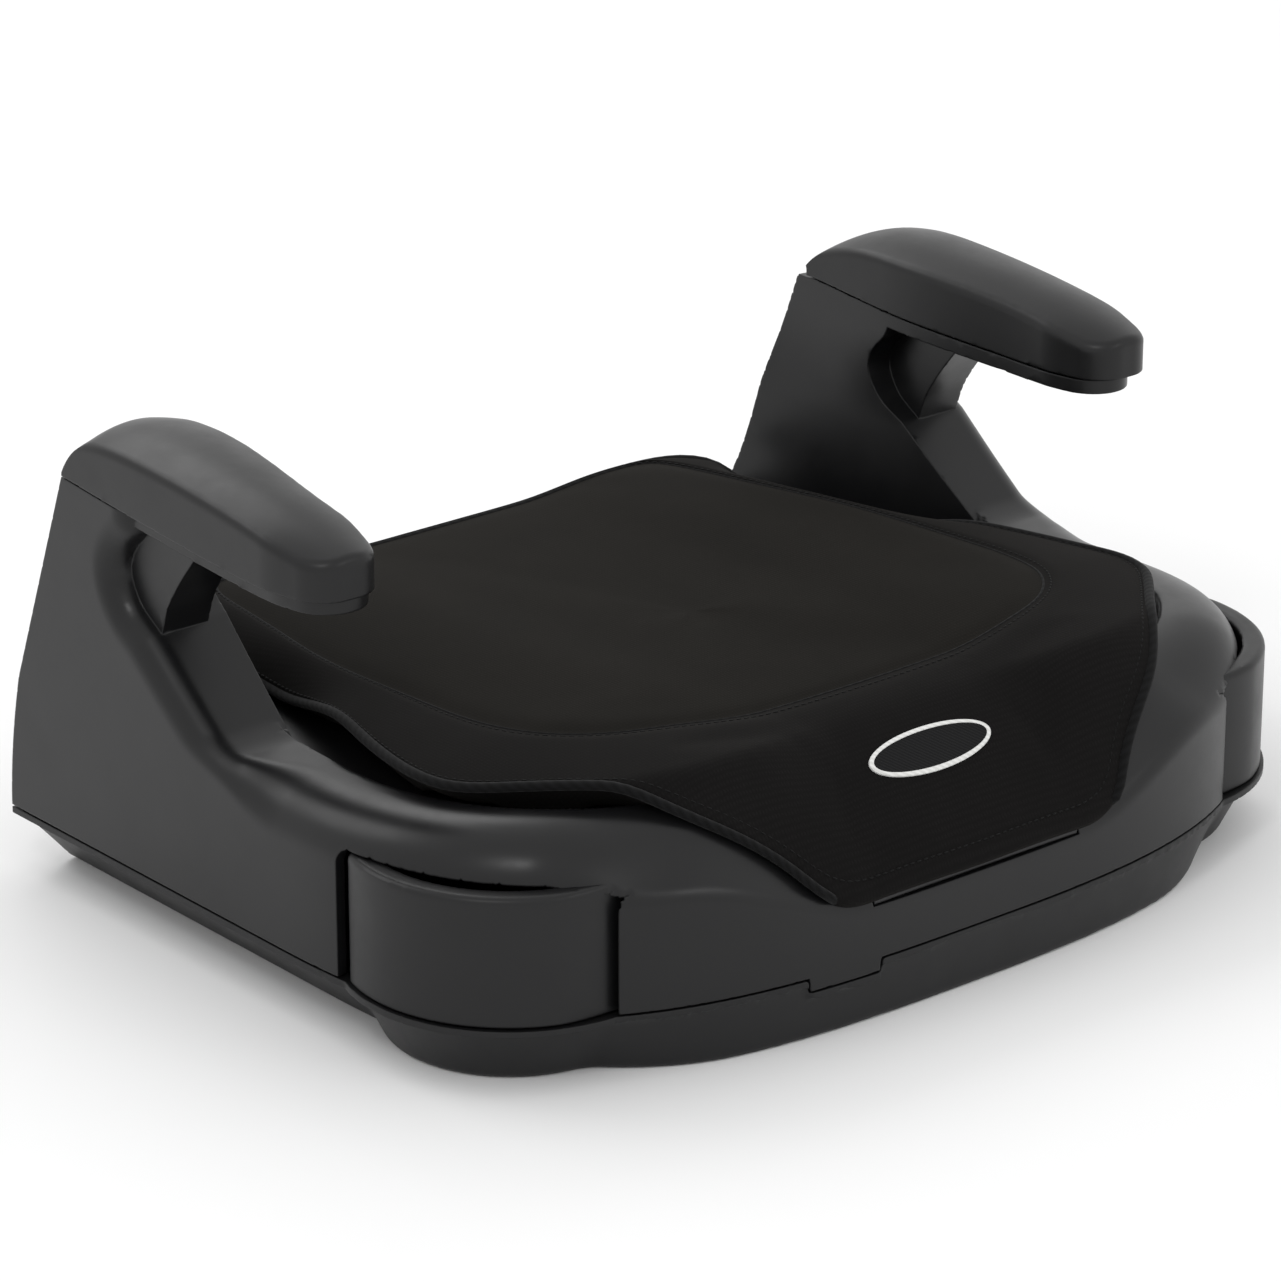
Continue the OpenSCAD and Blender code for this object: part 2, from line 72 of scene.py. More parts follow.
class Side(Enum):
    """The two hands of a piece, as the sign of its X."""

    LEFT = -1
    RIGHT = 1


# ------------------------------------------------------------------ numbers and fields


def lerp(a: Any, b: Any, t: Any) -> Any:
    """Value a share t of the way from a to b."""
    return a + (b - a) * t


def smooth(t: Any) -> Any:
    """Ease from 0 to 1 with flat ends."""
    t = np.clip(t, 0, 1)
    return t * t * (3 - 2 * t)


def round_max(a: Array, b: Array, radius: Any) -> Array:
    """Intersection of two fields whose shared edge is rounded.

    Args:
        a: First field, in millimetres.
        b: Second field, in millimetres.
        radius: Radius of the rounded edge.

    Returns:
        The joined field.
    """
    corner = np.hypot(np.maximum(a + radius, 0), np.maximum(b + radius, 0))
    return np.minimum(-radius, np.maximum(a, b)) + corner


def round_min(a: Array, b: Array, radius: Any) -> Array:
    """Union of two fields whose shared inner corner is filled by a fillet."""
    return -round_max(-a, -b, radius)


def rounded(points: Sequence[Sequence[float]], cut: float | Sequence[float], steps: int = 5) -> Array:
    """Closed outline whose corners are turned into short curves.

    Args:
        points: Corners of the outline in order.
        cut: Distance from a corner at which its curve begins, for all corners or for each.
        steps: Points on each curve.

    Returns:
        Points of the smoothed outline, one row each.
    """
    corners, result = np.asarray(points, float), []
    cuts = np.broadcast_to(cut, len(corners))
    for k, corner in enumerate(corners):
        if cuts[k] == 0:
            result.append(corner)
            continue
        ends = []
        for other in (corners[k - 1], corners[(k + 1) % len(corners)]):
            run = other - corner
            length = np.linalg.norm(run)
            ends.append(corner + run / length * min(cuts[k], 0.45 * length))
        for t in np.linspace(0, 1, steps):
            result.append((1 - t) ** 2 * ends[0] + 2 * t * (1 - t) * corner + t * t * ends[1])
    return np.array(result)


def outline_distance(outline: Array, u: Array, v: Array) -> Array:
    """Signed distance from (u, v) to a closed outline, negative inside it.

    Args:
        outline: Points of the outline.
        u: First coordinate of the places.
        v: Second coordinate of the places.

    Returns:
        The distances, in the outline's unit.
    """
    best = np.full(np.broadcast(u, v).shape, 1e12, np.result_type(u, v))
    inside = np.zeros(best.shape, bool)
    for a, b in zip(outline, np.roll(outline, -1, axis=0)):
        du, dv = b - a
        if abs(du) + abs(dv) < 1e-9:
            continue
        pu, pv = u - a[0], v - a[1]
        along = np.clip((pu * du + pv * dv) / (du * du + dv * dv), 0, 1)
        best = np.minimum(best, (pu - along * du) ** 2 + (pv - along * dv) ** 2)
        crosses = (a[1] > v) != (b[1] > v)
        inside ^= crosses & (u < a[0] + (v - a[1]) * du / (dv if dv else 1e-12))
    return np.where(inside, -1, 1) * np.sqrt(best)


def field_mesh(field: Field, low: Sequence[float], high: Sequence[float],
               step: float) -> tuple[Array, Array]:
    """Mesh the surface where a field is zero, with crisp edges kept.

    Each cell that the surface crosses gets one vertex, at the place that fits the tangent
    planes of its crossings best.

    Args:
        field: The shape, negative inside.
        low: Lowest corner of the region, in millimetres.
        high: Highest corner of the region.
        step: Size of a cell.

    Returns:
        Vertices in millimetres and quads that point outwards.
    """
    low = np.asarray(low, float)
    count = np.ceil((np.asarray(high, float) - low) / step).astype(int) + 1
    axes = [(low[i] + step * np.arange(count[i])).astype(np.float32) for i in range(3)]
    values = np.broadcast_to(field(*np.meshgrid(*axes, indexing="ij", sparse=True)), count)
    values = values.astype(np.float32)
    inside = values < 0
    corners = np.array([[i, j, k] for i in (0, 1) for j in (0, 1) for k in (0, 1)])
    total = np.zeros(count - 1, np.uint8)
    for i, j, k in corners:
        total += inside[i:count[0] - 1 + i, j:count[1] - 1 + j, k:count[2] - 1 + k]
    cells = np.argwhere((total > 0) & (total < 8))
    index = np.full(count, -1)
    index[tuple(cells.T)] = np.arange(len(cells))

    owners, places, keys = [], [], []
    for a in corners:
        for axis in range(3):
            if a[axis]:
                continue
            b = a.copy()
            b[axis] = 1
            va, vb = values[tuple((cells + a).T)], values[tuple((cells + b).T)]
            owner = np.flatnonzero((va < 0) != (vb < 0))
            share = (va[owner] / (va[owner] - vb[owner])).astype(float)
            places.append(cells[owner] + a + share[:, None] * (b - a))
            keys.append(np.ravel_multi_index(tuple((cells[owner] + a).T), count) * 3 + axis)
            owners.append(owner)
    owner, place = np.concatenate(owners), low + np.concatenate(places) * step
    _, first, shared = np.unique(np.concatenate(keys), return_index=True, return_inverse=True)
    place = place[first]
    base, slope = gradient(field, place)
    steep = np.maximum(np.linalg.norm(slope, axis=1, keepdims=True), 1e-6)
    normal = (slope / steep)[shared]
    place = (place - slope / steep * np.clip(base[:, None] / steep, -step / 2, step / 2))[shared]

    sums = np.zeros((len(cells), 3))
    np.add.at(sums, owner, place)
    centre = sums / np.bincount(owner, minlength=len(cells))[:, None]
    pull, push = np.zeros((len(cells), 3, 3)), np.zeros((len(cells), 3))
    np.add.at(pull, owner, normal[:, :, None] * normal[:, None, :])
    height = np.sum(normal * (place - centre[owner]), axis=1)
    np.add.at(push, owner, normal * height[:, None])
    move = np.linalg.solve(pull + 0.06 * np.eye(3), push[:, :, None])[:, :, 0]
    floor = low + cells * step
    vertices = np.clip(centre + move, floor, floor + step)

    quads = []
    for axis in range(3):
        u, v = np.eye(3, dtype=int)[(axis + 1) % 3], np.eye(3, dtype=int)[(axis + 2) % 3]
        lower = np.moveaxis(np.moveaxis(inside, axis, 0)[:-1], 0, axis)
        upper = np.moveaxis(np.moveaxis(inside, axis, 0)[1:], 0, axis)
        edge = np.argwhere(lower != upper)
        edge = edge[(edge @ u > 0) & (edge @ v > 0)]
        quad = np.stack([index[tuple((edge - w).T)] for w in (u + v, v, 0 * u, u)], axis=1)
        out = lower[tuple(edge.T)]
        quads.append(np.where(out[:, None], quad, quad[:, ::-1]))
    quads = np.concatenate(quads)
    return vertices, quads[(quads >= 0).all(axis=1)]


def gradient(field: Field, place: Array, reach: float = 0.04) -> tuple[Array, Array]:
    """Value and slope of a field at single places.

    Args:
        field: The shape.
        place: Places, one row each.
        reach: Distance over which the slope is taken.

    Returns:
        The values, and the slopes as rows.
    """
    base = field(*place.T)
    slope = np.stack([(field(*(place + reach * step).T) - base) / reach for step in np.eye(3)], axis=1)
    return base, slope


# ------------------------------------------------------------------ meshes


def new_object(name: str, vertices: Array, faces: Sequence[Sequence[int]],
               materials: Sequence[bpy.types.Material]) -> bpy.types.Object:
    """Make a mesh object from vertices in millimetres.

    Args:
        name: Name of the piece.
        vertices: Rows of x, y and z.
        faces: Vertex numbers of each face.
        materials: Finishes, in slot order.

    Returns:
        The linked object, which sits at the origin.
    """
    mesh = bpy.data.meshes.new(name)
    mesh.from_pydata((np.asarray(vertices) * MM).tolist(), [], np.asarray(faces).tolist()
                     if isinstance(faces, np.ndarray) else list(faces))
    mesh.update()
    obj = bpy.data.objects.new(name, mesh)
    bpy.context.scene.collection.objects.link(obj)
    for material in materials:
        mesh.materials.append(material)
    mesh.polygons.foreach_set("use_smooth", [True] * len(mesh.polygons))
    return obj


def apply_modifiers(obj: bpy.types.Object) -> bpy.types.Object:
    """Bake every modifier of obj into its mesh.

    Args:
        obj: The object.

    Returns:
        The same object with a plain mesh.
    """
    graph = bpy.context.evaluated_depsgraph_get()
    mesh = bpy.data.meshes.new_from_object(obj.evaluated_get(graph), depsgraph=graph)
    obj.modifiers.clear()
    obj.data = mesh
    return obj


def moulded(name: str, field: Field, low: Sequence[float], high: Sequence[float], step: float,
            material: bpy.types.Material, faces: int = 90000) -> bpy.types.Object:
    """Turn a field into a moulded piece.

    Args:
        name: Name of the piece.
        field: The shape, negative inside.
        low: Lowest corner of the region, in millimetres.
        high: Highest corner of the region.
        step: Size of a mesh cell.
        material: Finish of the piece.
        faces: Most quads to mesh before the skin is thinned.

    Returns:
        The piece.
    """
    vertices, quads = field_mesh(field, low, high, step)
    obj = new_object(name, vertices, quads, [material])
    if len(quads) > faces:
        thin = obj.modifiers.new("thin", "DECIMATE")
        thin.ratio = faces / len(quads)
        apply_modifiers(obj)
    obj.data.polygons.foreach_set("use_smooth", [True] * len(obj.data.polygons))
    obj.data.set_sharp_from_angle(angle=math.radians(38))
    LOG.info("%s: %d cells, %d faces", name, len(quads), len(obj.data.polygons))
    return obj


def place_on(obj: bpy.types.Object, body: Body, slot: str, *nodes: str) -> bpy.types.Object:
    """Ride obj on its body, log it and let it stand for CAD nodes.

    Args:
        obj: The finished piece.
        body: Body that it moves with.
        slot: Name of a material slot; not used.
        nodes: CAD nodes that it replaces.

    Returns:
        The same piece.
    """
    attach(obj, body.value)
    if nodes:
        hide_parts(*nodes)
    LOG.info("%s rides on %s", obj.name, body.value)
    return obj


def box_mm(node: str) -> tuple[Vector, Vector]:
    """Lowest and highest corner of a CAD node in millimetres."""
    low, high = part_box(node)
    return low / MM, high / MM


# ------------------------------------------------------------------ finishes


def linear(code: str) -> tuple[float, float, float, float]:
    """Turn an sRGB hex colour into the linear values that shaders use."""
    parts = [int(code[i:i + 2], 16) / 255 for i in (1, 3, 5)]
    return (*[p / 12.92 if p <= 0.04045 else ((p + 0.055) / 1.055) ** 2.4 for p in parts], 1.0)


def add_node(tree: bpy.types.NodeTree, kind: str, inputs: dict[Any, Any] | None = None,
             **settings: Any) -> bpy.types.Node:
    """Add one node with its settings and links.

    Args:
        tree: The tree to add to.
        kind: Type name of the node.
        inputs: Values or sockets for its inputs, by name or number.
        settings: Properties of the node.

    Returns:
        The node.
    """
    node = tree.nodes.new(kind)
    for key, value in settings.items():
        setattr(node, key, value)
    for key, value in (inputs or {}).items():
        if isinstance(value, bpy.types.NodeSocket):
            tree.links.new(value, node.inputs[key])
        else:
            node.inputs[key].default_value = value
    return node


def new_material(name: str, **values: Any) -> tuple[bpy.types.NodeTree, bpy.types.Node, bpy.types.Material]:
    """Start a material with a principled shader.

    Args:
        name: Name of the material.
        values: Uniform values for the shader's own inputs, with spaces written as underscores.

    Returns:
        The node tree, its principled shader and the material.
    """
    material = bpy.data.materials.new(name)
    material.use_nodes = True
    tree = material.node_tree
    shader = tree.nodes["Principled BSDF"]
    for key, value in values.items():
        shader.inputs[key.replace("_", " ")].default_value = value
    return tree, shader, material


def per_mm(size: float) -> float:
    """Texture scale at which one period measures size millimetres."""
    return 1 / (size * MM)


@dataclass(frozen=True)
class MouldedPolypropylene:
    """Injection moulded polypropylene: a spark-eroded tool leaves a fine satin grain."""

    name: str
    shade: str = "#0e0e0f"
    bloom: str = "#131314"
    roughness: float = 0.31
    grain_mm: float = 1.1
    grain_depth_mm: float = 0.022
    edge_mm: float = 0.9

    def material(self) -> bpy.types.Material:
        """Build the satin finish with its grain, cloudy bloom and uneven gloss.

        Returns:
            The material.
        """
        tree, shader, material = new_material(self.name, IOR=1.49, Specular_IOR_Level=0.36)
        place = add_node(tree, "ShaderNodeTexCoord").outputs["Object"]
        cloud = add_node(tree, "ShaderNodeTexNoise", {
            "Vector": place, "Scale": per_mm(70), "Detail": 3, "Roughness": 0.55}).outputs["Fac"]
        tone = add_node(tree, "ShaderNodeMix", {
            "Factor": cloud, "A": linear(self.shade), "B": linear(self.bloom)}, data_type="RGBA")
        tree.links.new(tone.outputs["Result"], shader.inputs["Base Color"])
        # Real grain is about 0.2 mm across; it is drawn coarser so that it shows.
        grain = add_node(tree, "ShaderNodeTexNoise", {
            "Vector": place, "Scale": per_mm(self.grain_mm), "Detail": 2, "Roughness": 0.6}).outputs["Fac"]
        rub = add_node(tree, "ShaderNodeTexNoise", {
            "Vector": place, "Scale": per_mm(24), "Detail": 5, "Roughness": 0.7}).outputs["Fac"]
        gloss = add_node(tree, "ShaderNodeMapRange", {
            "Value": rub, "From Min": 0.3, "From Max": 0.7,
            "To Min": self.roughness - 0.035, "To Max": self.roughness + 0.05})
        tree.links.new(gloss.outputs["Result"], shader.inputs["Roughness"])
        # A moulded edge is never sharp: the tool leaves it a small radius that catches the light.
        edge = add_node(tree, "ShaderNodeBevel", {"Radius": self.edge_mm * MM}, samples=6)
        bump = add_node(tree, "ShaderNodeBump", {
            "Height": grain, "Strength": 0.5, "Distance": self.grain_depth_mm * MM,
            "Normal": edge.outputs["Normal"]})
        tree.links.new(bump.outputs["Normal"], shader.inputs["Normal"])
        return material


@dataclass(frozen=True)
class KnittedCloth:
    """Fine weft-knitted polyester laminated to foam: rows of small loops with a soft nap."""

    name: str
    thread: str
    shadow: str
    course_mm: float = 0.95
    wale_mm: float = 0.8
    sheen: float = 0.10

    def material(self) -> bpy.types.Material:
        """Build the knit from crossing rows, uneven yarn and a light nap.

        Returns:
            The material.
        """
        tree, shader, material = new_material(
            self.name, Roughness=0.95, Specular_IOR_Level=0.10, Sheen_Weight=self.sheen,
            Sheen_Roughness=0.5, Sheen_Tint=linear("#6a665f"))
        place = add_node(tree, "ShaderNodeTexCoord").outputs["Object"]
        # The loops are about 0.6 mm in the cloth; they are drawn a little larger so that they show.
        rows = [add_node(tree, "ShaderNodeTexWave", {
            "Vector": place, "Scale": per_mm(size) / math.tau, "Distortion": 1.4,
            "Detail": 1, "Detail Scale": 2.0}, bands_direction=way).outputs["Fac"]
            for way, size in (("X", self.wale_mm), ("Y", self.course_mm))]
        loops = add_node(tree, "ShaderNodeMath", {0: rows[0], 1: rows[1]}, operation="MULTIPLY")
        nap = add_node(tree, "ShaderNodeTexNoise", {
            "Vector": place, "Scale": per_mm(0.7), "Detail": 3, "Roughness": 0.7}).outputs["Fac"]
        wear = add_node(tree, "ShaderNodeTexNoise", {
            "Vector": place, "Scale": per_mm(45), "Detail": 4, "Roughness": 0.6}).outputs["Fac"]
        depth = add_node(tree, "ShaderNodeMath", {0: nap, 1: loops.outputs[0]}, operation="ADD")
        mix = add_node(tree, "ShaderNodeMath", {0: depth.outputs[0], 1: wear}, operation="MULTIPLY")
        tone = add_node(tree, "ShaderNodeMix", {
            "Factor": mix.outputs[0], "A": linear(self.shadow), "B": linear(self.thread)}, data_type="RGBA")
        tree.links.new(tone.outputs["Result"], shader.inputs["Base Color"])
        bump = add_node(tree, "ShaderNodeBump", {
            "Height": depth.outputs[0], "Strength": 0.4, "Distance": 0.06 * MM})
        tree.links.new(bump.outputs["Normal"], shader.inputs["Normal"])
        return material


@dataclass(frozen=True)
class WovenTape:
    """Woven polyester tape or elastic: fine ribs run across its length."""

    name: str
    thread: str
    shadow: str
    rib_mm: float = 1.3
    roughness: float = 0.8
    along: str = "UV"

    def material(self) -> bpy.types.Material:
        """Build the ribs along the piece's own length.

        Returns:
            The material.
        """
        tree, shader, material = new_material(
            self.name, Roughness=self.roughness, Specular_IOR_Level=0.15, Sheen_Weight=0.05)
        place = add_node(tree, "ShaderNodeTexCoord").outputs[self.along]
        rib = add_node(tree, "ShaderNodeTexWave", {
            "Vector": place, "Scale": per_mm(self.rib_mm) / math.tau, "Distortion": 0.6},
            bands_direction="DIAGONAL").outputs["Fac"]
        tone = add_node(tree, "ShaderNodeMix", {
            "Factor": rib, "A": linear(self.shadow), "B": linear(self.thread)}, data_type="RGBA")
        tree.links.new(tone.outputs["Result"], shader.inputs["Base Color"])
        bump = add_node(tree, "ShaderNodeBump", {"Height": rib, "Strength": 0.6, "Distance": 0.15 * MM})
        tree.links.new(bump.outputs["Normal"], shader.inputs["Normal"])
        return material


@dataclass(frozen=True)
class ZincPlatedSteel:
    """Cold-headed steel with bright zinc plating: a cool metal with a soft, uneven gloss."""

    name: str = "zinc_plated_steel"

    def material(self) -> bpy.types.Material:
        """Build the plating with its cloudy gloss.

        Returns:
            The material.
        """
        tree, shader, material = new_material(self.name, Metallic=1.0, Base_Color=linear("#b9bbbd"))
        place = add_node(tree, "ShaderNodeTexCoord").outputs["Object"]
        cloud = add_node(tree, "ShaderNodeTexNoise", {"Vector": place, "Scale": per_mm(2.5), "Detail": 4})
        gloss = add_node(tree, "ShaderNodeMapRange", {
            "Value": cloud.outputs["Fac"], "To Min": 0.25, "To Max": 0.45})
        tree.links.new(gloss.outputs["Result"], shader.inputs["Roughness"])
        return material


@dataclass(frozen=True)
class Finishes:
    """Every finish of the seat, made once."""

    shell: bpy.types.Material
    base: bpy.types.Material
    cap: bpy.types.Material
    cup: bpy.types.Material
    panel: bpy.types.Material
    border: bpy.types.Material
    tape: bpy.types.Material
    thread: bpy.types.Material
    label: bpy.types.Material
    label_edge: bpy.types.Material
    steel: bpy.types.Material
    strip: bpy.types.Material
    elastic: bpy.types.Material

    @staticmethod
    def make() -> "Finishes":
        """Build the finishes.

        Returns:
            The set, with one material for each kind of part.
        """
        return Finishes(
            shell=MouldedPolypropylene("satin_polypropylene_shell").material(),
            base=MouldedPolypropylene("satin_polypropylene_base", roughness=0.44).material(),
            cap=MouldedPolypropylene("satin_polypropylene_cap", roughness=0.36).material(),
            cup=MouldedPolypropylene("satin_polypropylene_cup", roughness=0.38).material(),
            panel=KnittedCloth("knitted_polyester_panel", "#1b1916", "#100f0d").material(),
            border=KnittedCloth("knitted_polyester_border", "#161515", "#0c0b0b").material(),
            tape=WovenTape("woven_binding_tape", "#0f0f10", "#070707", roughness=0.9).material(),
            thread=WovenTape("spun_polyester_thread", "#131313", "#090909", rib_mm=0.5).material(),
            label=WovenTape("woven_label_field", "#131314", "#0e0e0f", rib_mm=0.5).material(),
            label_edge=WovenTape("woven_label_edge", "#e4e4e2", "#d2d2cf", rib_mm=0.8).material(),
            steel=ZincPlatedSteel().material(),
            strip=MouldedPolypropylene("flap_strip_plastic", "#1a1a1b", "#222223").material(),
            elastic=WovenTape("elastic_loop", "#1a1a1b", "#0d0d0e", rib_mm=1.0, along="Object").material())


# ------------------------------------------------------------------ plan of the seat


@dataclass(frozen=True)
class SeatPlan:
    """Outline, roll and slopes that the shells share."""

    half_width: float
    front_y: float
    parting_z: float
    centre_y: float
    rear_y: float
    power: float = 2.85
    rear_bow: float = 7.2
    side_wall_z: float = 73.0
    front_wall_z: float = 51.0
    side_crest_z: float = 93.0
    corner_crest_z: float = 98.0
    tongue_x: tuple[float, float] = (-84.0, -49.0)
    tongue_drop: float = 5.5
    side_reach: float = 27.0
    front_reach: float = 46.0
    deck_z: float = 86.0
    deck_fall: float = 0.03
    upright_h: float = 59.0
    upright_lean: float = 9.0
    arm_lean: float = 0.385

    @staticmethod
    def from_frame() -> "SeatPlan":
        """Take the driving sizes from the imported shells.

        Returns:
            The plan.
        """
        low, high = box_mm("upper_shell")
        return SeatPlan(half_width=high.x - 0.6, front_y=low.y, parting_z=box_mm("base_shell")[1].z,
                        centre_y=low.y + 154.5, rear_y=low.y + 335)

    def inset(self, x: Array, y: Array) -> Array:
        """Measure the distance inwards from the side and front outline.

        Args:
            x: Places across the seat.
            y: Places along the seat.

        Returns:
            The distances, negative outside.
        """
        across, along = np.abs(x) / self.half_width, np.maximum(self.centre_y - y, 0)
        depth = self.centre_y - self.front_y
        ahead = along / depth
        ratio = np.maximum((across ** self.power + ahead ** self.power) ** (1 / self.power), 1e-6)
        steep = np.hypot(across ** (self.power - 1) / self.half_width,
                         ahead ** (self.power - 1) / depth) / ratio ** (self.power - 1)
        return (1 - ratio) / np.maximum(steep, 1 / self.half_width)

    def joint_line(self, x: Array, y: Array) -> Array:
        """Height of the joint between the shells, which steps down at one place in front."""
        start, end = self.tongue_x
        return self.parting_z - np.where((x > start) & (x < end) & (y < -100), self.tongue_drop, 0)

    def turn(self, x: Array, y: Array) -> Array:
        """Angle round the front, from 0 at the sides to 90 in the middle."""
        return np.degrees(np.arctan2(np.maximum(self.centre_y - y, 0), np.maximum(np.abs(x), 1e-3)))

    def frontness(self, x: Array, y: Array) -> Array:
        """How much a place belongs to the low front wall."""
        return smooth((self.turn(x, y) - 44) / 26)

    def slope_share(self, x: Array, y: Array) -> Array:
        """How far the round roll has turned into the straight front slope."""
        return smooth((self.turn(x, y) - 30) / 16)

    def wall_top(self, x: Array, y: Array) -> Array:
        """Top of the upright wall."""
        return lerp(self.side_wall_z, self.front_wall_z, self.frontness(x, y))

    def crest(self, x: Array, y: Array) -> Array:
        """Height of the rolled rim; it sinks inside the arms."""
        rim = lerp(self.side_crest_z, self.corner_crest_z, smooth(self.turn(x, y) / 30))
        return lerp(rim, self.side_wall_z + 4, smooth((y - 25) / 55))

    def reach(self, x: Array, y: Array) -> Array:
        """Distance from the wall to the crest of the roll."""
        return lerp(self.side_reach, self.front_reach, self.frontness(x, y))

    def deck(self, y: Array) -> Array:
        """Height of the deck under the cushion."""
        return self.deck_z - self.deck_fall * (y + 50)

    def rear(self, x: Array, z: Array) -> Array:
        """Place the rear face, which bows out and leans forward as it rises.

        Args:
            x: Places across the seat.
            z: Heights.

        Returns:
            Y of the face.
        """
        up = np.clip(z - self.parting_z, 0, None)
        lean = self.upright_lean * (np.minimum(up, self.upright_h) / self.upright_h) ** 1.7
        lean = lean + self.arm_lean * np.clip(up - self.upright_h, 0, None)
        bow = self.rear_bow * (1 - np.minimum(np.abs(x) / self.half_width, 1) ** 4)
        slant = 0.2 * np.clip(214 - np.abs(x), 0, 60) * smooth((z - 90) / 80)
        return self.rear_y - lean + bow + slant

    def behind(self, x: Array, y: Array, z: Array) -> Array:
        """Field that is negative in front of the rear face."""
        return (y - self.rear(x, z)) / lerp(1.0, 1.07, smooth((z - 50) / 30))


@dataclass
class UpperShell:
    """The one-piece upper moulding: walls, roll, deck, arm posts, webs and cap beams."""

    plan: SeatPlan
    finishes: Finishes
    wall: float = 4.6
    step: float = 1.7
    joint_gap: float = 1.0
    bay_front_y: float = -144.6
    bay_rear_y: float = -51.4
    bay_top_z: float = 80.2
    web_inner_x: float = 187.0
    web_outer_x: float = 209.0
    beam_h: float = 6.0
    tip_y: float = -38.0
    tip_r: float = 13.0
    beam_rear_y: float = 100.0
    beam_inset: float = 5.0
    joint_front_z: float = 171.3
    joint_rise: float = 9.0
    inner_face_x: float = 178.0
    inner_face_lean: tuple[float, float] = (-0.15, 0.08)
    cap_clearance: float = 0.4
    arm_edge_r: float = 12.0
    rear_edge_r: float = 2.5
    foot_fillet: float = 6.0
    crest_width: float = 8.0
    pocket_r: float = 6.0
    pocket_edge_r: float = 3.5
    crest_r: float = 8.0
    wall_edge_r: float = 3.0
    slot_half: tuple[float, float] = (54.0, 1.4)
    slot_z: float = 50.8

    def __post_init__(self) -> None:
        """Work out the side outlines of the arm."""
        hook = [(74, 190), (74, 168), (86, 158), (90, 147), (83, 135), (71, 128)]
        post = [(50, 111), (25, 92), (10, 81), (-6, 60), (-6, -60)]
        cuts = [0, 0, 0, 9, 9, 9, 9, 0, 9, 9, 9, 9, 0]
        self.post_outline = rounded([(300, -60), (300, 190), *hook, *post], cuts)
        web = [(110, 118), (110, 176), (38, 176), (46, 165), (57, 152), (66, 139), (70, 127), (86, 118)]
        self.web_outline = rounded(web, [0, 0, 0, 6, 6, 6, 0, 0])

    def joint(self, y: Array) -> Array:
        """Height of the joint under the armrest caps."""
        return self.joint_front_z + self.joint_rise * np.clip((y + 5) / 125, 0, 1) ** 1.3

    def cap_inner(self, y: Array) -> Array:
        """X of the caps' inner edge."""
        return 172 + 8 * smooth((80 - y) / 90) + 4 * smooth((-10 - y) / 30)

    def cap_outer(self, y: Array) -> Array:
        """X of the caps' outer edge."""
        return 220 - 4 * smooth((-10 - y) / 30)

    def inner_face(self, x: Array, y: Array, z: Array) -> Array:
        """Place the arm's leaning inner face, which meets the cap's inner edge at the top.

        Args:
            x: Distances from the middle of the seat.
            y: Places along the seat.
            z: Heights.

        Returns:
            A field that is negative outboard of the face.
        """
        along, up = self.inner_face_lean
        lower = self.inner_face_x + along * y + up * z
        return (lerp(lower, self.cap_inner(y) + self.cap_clearance, smooth((z - 125) / 45)) - x) / 1.02

    def walls(self, x: Array, y: Array, z: Array) -> Array:
        """Shape the solid of walls, roll, deck and arm posts, before it is hollowed.

        Args:
            x: Places across the seat.
            y: Places along the seat.
            z: Heights.

        Returns:
            The field.
        """
        plan, side = self.plan, np.abs(x)
        inset, wall, crest = plan.inset(x, y), plan.wall_top(x, y), plan.crest(x, y)
        reach = plan.reach(x, y)
        rise = np.maximum(crest - wall, 4)
        post = outline_distance(self.post_outline, y, z)
        sharp = smooth((y - 98 - 0.25 * (180 - z)) / 18)
        upper = smooth((y + 15) / 38)
        round_in = lerp(lerp(reach, self.arm_edge_r, upper), self.rear_edge_r, sharp)
        round_up = lerp(lerp(rise, self.arm_edge_r, upper), self.rear_edge_r, sharp)
        above = round_min(z - crest, post + 0 * x, self.foot_fillet)
        roll = self.rolled(inset, above, round_in, round_up)
        slope = ((z - wall) * reach - inset * rise) / np.hypot(reach, rise)
        front = round_max(round_max(-inset, slope, self.wall_edge_r), z - crest, self.crest_r)
        body = lerp(roll, front, plan.slope_share(x, y))
        rear = plan.behind(x, y, z)
        body = np.maximum(body, rear)
        inner = self.inner_face(side, y, z)
        # Beside the arms the pocket over the deck reaches their inner faces; in front it doesn't.
        rim = np.minimum(reach + self.crest_width - inset, -inner + 400 * smooth((8 - y) / 90))
        pocket = round_max(rim, plan.deck(y) - z, self.pocket_r)
        body = round_max(body, -pocket, lerp(self.pocket_edge_r, 0.01, smooth((y + 20) / 40)))
        arm = np.maximum(self.rolled(inset, post + 0 * x, round_in, round_up), rear)
        return np.minimum(body, np.maximum(arm, inner))

    def rolled(self, inset: Array, above: Array, round_in: Array, round_up: Array) -> Array:
        """Join the upright wall and what bounds it above by an elliptical edge.

        Args:
            inset: Distance inwards from the outline.
            above: Field of the upper limit.
            round_in: How far in the rounded edge reaches.
            round_up: How far down it reaches.

        Returns:
            The joined field.
        """
        u = np.maximum(round_in - inset, 0) / round_in
        v = np.maximum(above + round_up, 0) / round_up
        far = np.hypot(u, v)
        steep = np.hypot(u / round_in, v / round_up) / np.maximum(far, 1e-6)
        return (far - 1) / np.maximum(steep, 1 / 60)

